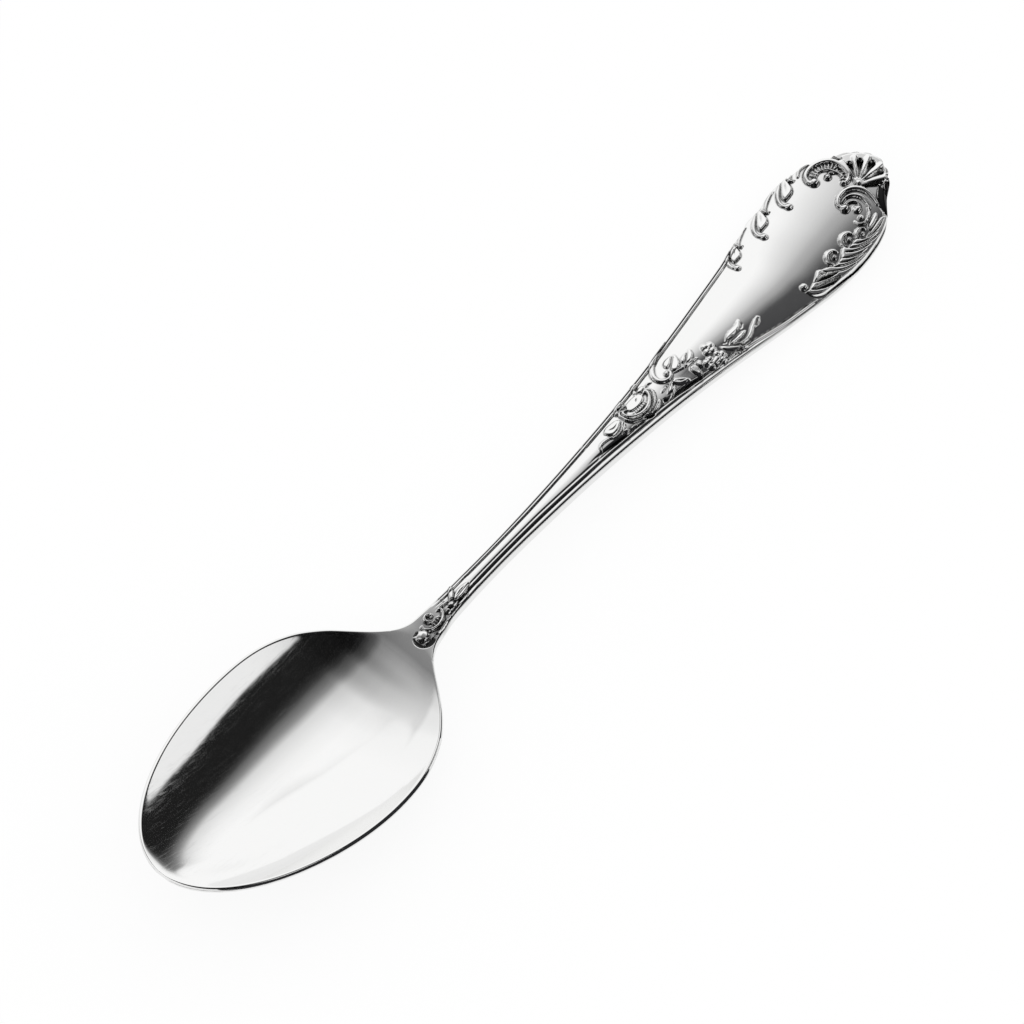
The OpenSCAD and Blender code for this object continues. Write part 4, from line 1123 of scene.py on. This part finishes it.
def studio_world():
    """White room with a long dark screen on the -Y side and less light towards -X."""
    n = Nodes(bpy.data.worlds.new("studio"))
    x, y, z = n.place("Generated")
    height = n.math("MAXIMUM", z, LEAST_HEIGHT)
    u = n.math("DIVIDE", x, height)
    v = n.math("DIVIDE", y, height)
    # Soft upper edge of the screen
    ahead = n.math("MAXIMUM", n.less(n.math("MINIMUM", u, AHEAD_END), AHEAD_START), 0.0)
    behind = n.math("MAXIMUM", n.less(BEHIND_START, u), 0.0)
    ahead = n.math("POWER", ahead, AHEAD_POWER)
    behind = n.math("POWER", behind, BEHIND_POWER)
    climb = n.math("ADD", n.times(ahead, AHEAD_CLIMB), n.times(behind, BEHIND_CLIMB))
    screen = n.ramp(n.less(n.math("ADD", v, SCREEN_SHIFT), climb), SCREEN_STOPS)
    # Sharp lower edge, missing towards -X
    off = n.less(u, LOW_EDGE_MIDDLE)
    edge = n.less(n.times(n.times(off, off), LOW_EDGE_BEND), LOW_EDGE_V)
    below = n.smooth(n.less(edge, v), 0.0, 0.04)
    below = n.times(below, n.smooth(u, -0.1, 0.0))
    screen = n.times(screen, n.rest(below))
    screen = n.math("ADD", screen, n.times(BELOW_LEVEL, below))
    # Dark ground
    low_down = n.smooth(n.less(GROUND_V, v), 0.0, 0.15)
    facing = n.smooth(n.less(n.times(x, GROUND_SLANT), y), 0.0, 0.1)
    ground = n.times(GROUND_DARK, n.times(low_down, facing))
    light = n.times(screen, n.ramp(x, FALL_STOPS))
    light = n.times(light, n.rest(ground))
    # Only reflections see the screen
    strength = n.math("MAXIMUM", light, n.rest(n.ray("Is Glossy Ray")))
    return n.finish(n.shader("Background", Color=WHITE, Strength=strength), "OutputWorld")


bpy.context.scene.world = studio_world()


# Cards that only the steel sees

CARD_BLACK = (0.01, 0.01, 0.012, 1)
SCREEN_BLACK = (0.02, 0.02, 0.022, 1)
VEIL_CORNERS = [(-0.01, -0.01, 0.025), (0.15, -0.02, 0.09), (0.15, 0.065, 0.09), (-0.01, 0.018, 0.025)]
# The veil's stops for the handle's end and for the stem, by slope, and where along X they change over
VEIL_STOPS = [
    (0.1, 0.07), (0.16, 0.2), (0.225, 0.39), (0.28, 0.47), (0.33, 0.6), (0.39, 0.71), (0.575, 0.94),
    (0.66, 1.0)]
STEM_STOPS = [(-0.1, 0.5), (0.1, 0.7), (0.4, 0.95), (0.5, 1.0)]
CHANGE_OVER = (0.06, 0.074)
# Upright screens beside the spoon: name, start and end along X, and height
UPRIGHT_Y = -0.023
UPRIGHTS = (("bowl_screen", -0.1, -0.042, 0.018), ("stem_screen", -0.024, 0.046, 0.031))
# Card over the neck: its stops are in millimetres from the bowl's tip
NECK_CARD = (-0.044, -0.0124, -0.004, 0.015, 0.02)
NECK_STOPS = [(46.0, 1.0), (50.0, 0.75), (54.0, 0.38), (58.0, 0.22), (64.0, 0.24), (68.0, 0.5), (72.0, 1.0)]


def card(name, corners, material):
    """Stage piece that shows in reflections only."""
    obj = plane(name, corners, material)
    obj.visible_camera = False
    obj.visible_diffuse = False
    obj.visible_shadow = False


def see_through(n, share):
    """Finishes a black card that lets a share of the light through."""
    return n.finish(n.mix(share, n.glow(CARD_BLACK), n.shader("BsdfTransparent")))


def veil_material():
    """Grey veil that lets more light through away from its low edge."""
    n = Nodes(bpy.data.materials.new("veil"))
    x, y, z = n.place("Object")
    slope = n.math("DIVIDE", y, z)
    over_head = n.smooth(x, *CHANGE_OVER)
    head = n.times(n.ramp(slope, VEIL_STOPS), over_head)
    stem = n.times(n.ramp(slope, STEM_STOPS), n.rest(over_head))
    return see_through(n, n.math("ADD", head, stem))


def screen_material():
    n = Nodes(bpy.data.materials.new("dark_screen"))
    return n.finish(n.glow(SCREEN_BLACK))


def neck_card_material():
    """Grey card over the neck, see-through at both ends and both sides."""
    n = Nodes(bpy.data.materials.new("neck_card"))
    x, y, _ = n.place("Object")
    share = n.ramp(n.times(x, 1000.0), [(at - MIDDLE, level) for at, level in NECK_STOPS])
    share = n.math("MAXIMUM", share, n.smooth(y, 0.004, 0.015))
    share = n.math("MAXIMUM", share, n.smooth(n.times(y, -1.0), 0.0, 0.004))
    return see_through(n, share)


card("veil", VEIL_CORNERS, veil_material())
dark_screen = screen_material()
for name, start, end, top in UPRIGHTS:
    foot = [(start, UPRIGHT_Y, 0), (end, UPRIGHT_Y, 0)]
    card(name, foot + [(end, UPRIGHT_Y, top), (start, UPRIGHT_Y, top)], dark_screen)
card("neck_card", flat_corners(*NECK_CARD), neck_card_material())


# Camera, at the photograph's viewing angle. The sensor's width is in millimetres.

ELEVATION = math.radians(58)
HEADING = math.radians(51)
DISTANCE = 0.7
PIXELS_PER_METRE = 6276.4
IMAGE_WIDTH = 1024
SENSOR_WIDTH = 36
AIM = Vector((0.088985 - MIDDLE / 1000, 0.005534, -low / 1000))


def make_camera():
    """Camera that looks at the aim from a distance."""
    flat = math.cos(ELEVATION)
    look = Vector((flat * math.sin(HEADING), flat * math.cos(HEADING), -math.sin(ELEVATION)))
    right = Vector((math.cos(HEADING), -math.sin(HEADING), 0))
    up = right.cross(look)
    data = bpy.data.cameras.new("camera")
    data.sensor_width = SENSOR_WIDTH
    data.lens = SENSOR_WIDTH * PIXELS_PER_METRE * DISTANCE / IMAGE_WIDTH
    data.clip_start = 0.01
    camera = bpy.data.objects.new("camera", data)
    rows = [(right[i], up[i], -look[i], AIM[i] - look[i] * DISTANCE) for i in range(3)]
    camera.matrix_world = Matrix(rows + [(0, 0, 0, 1)])
    bpy.context.scene.collection.objects.link(camera)
    return camera


bpy.context.scene.camera = make_camera()
bpy.context.scene.view_settings.view_transform = "Standard"
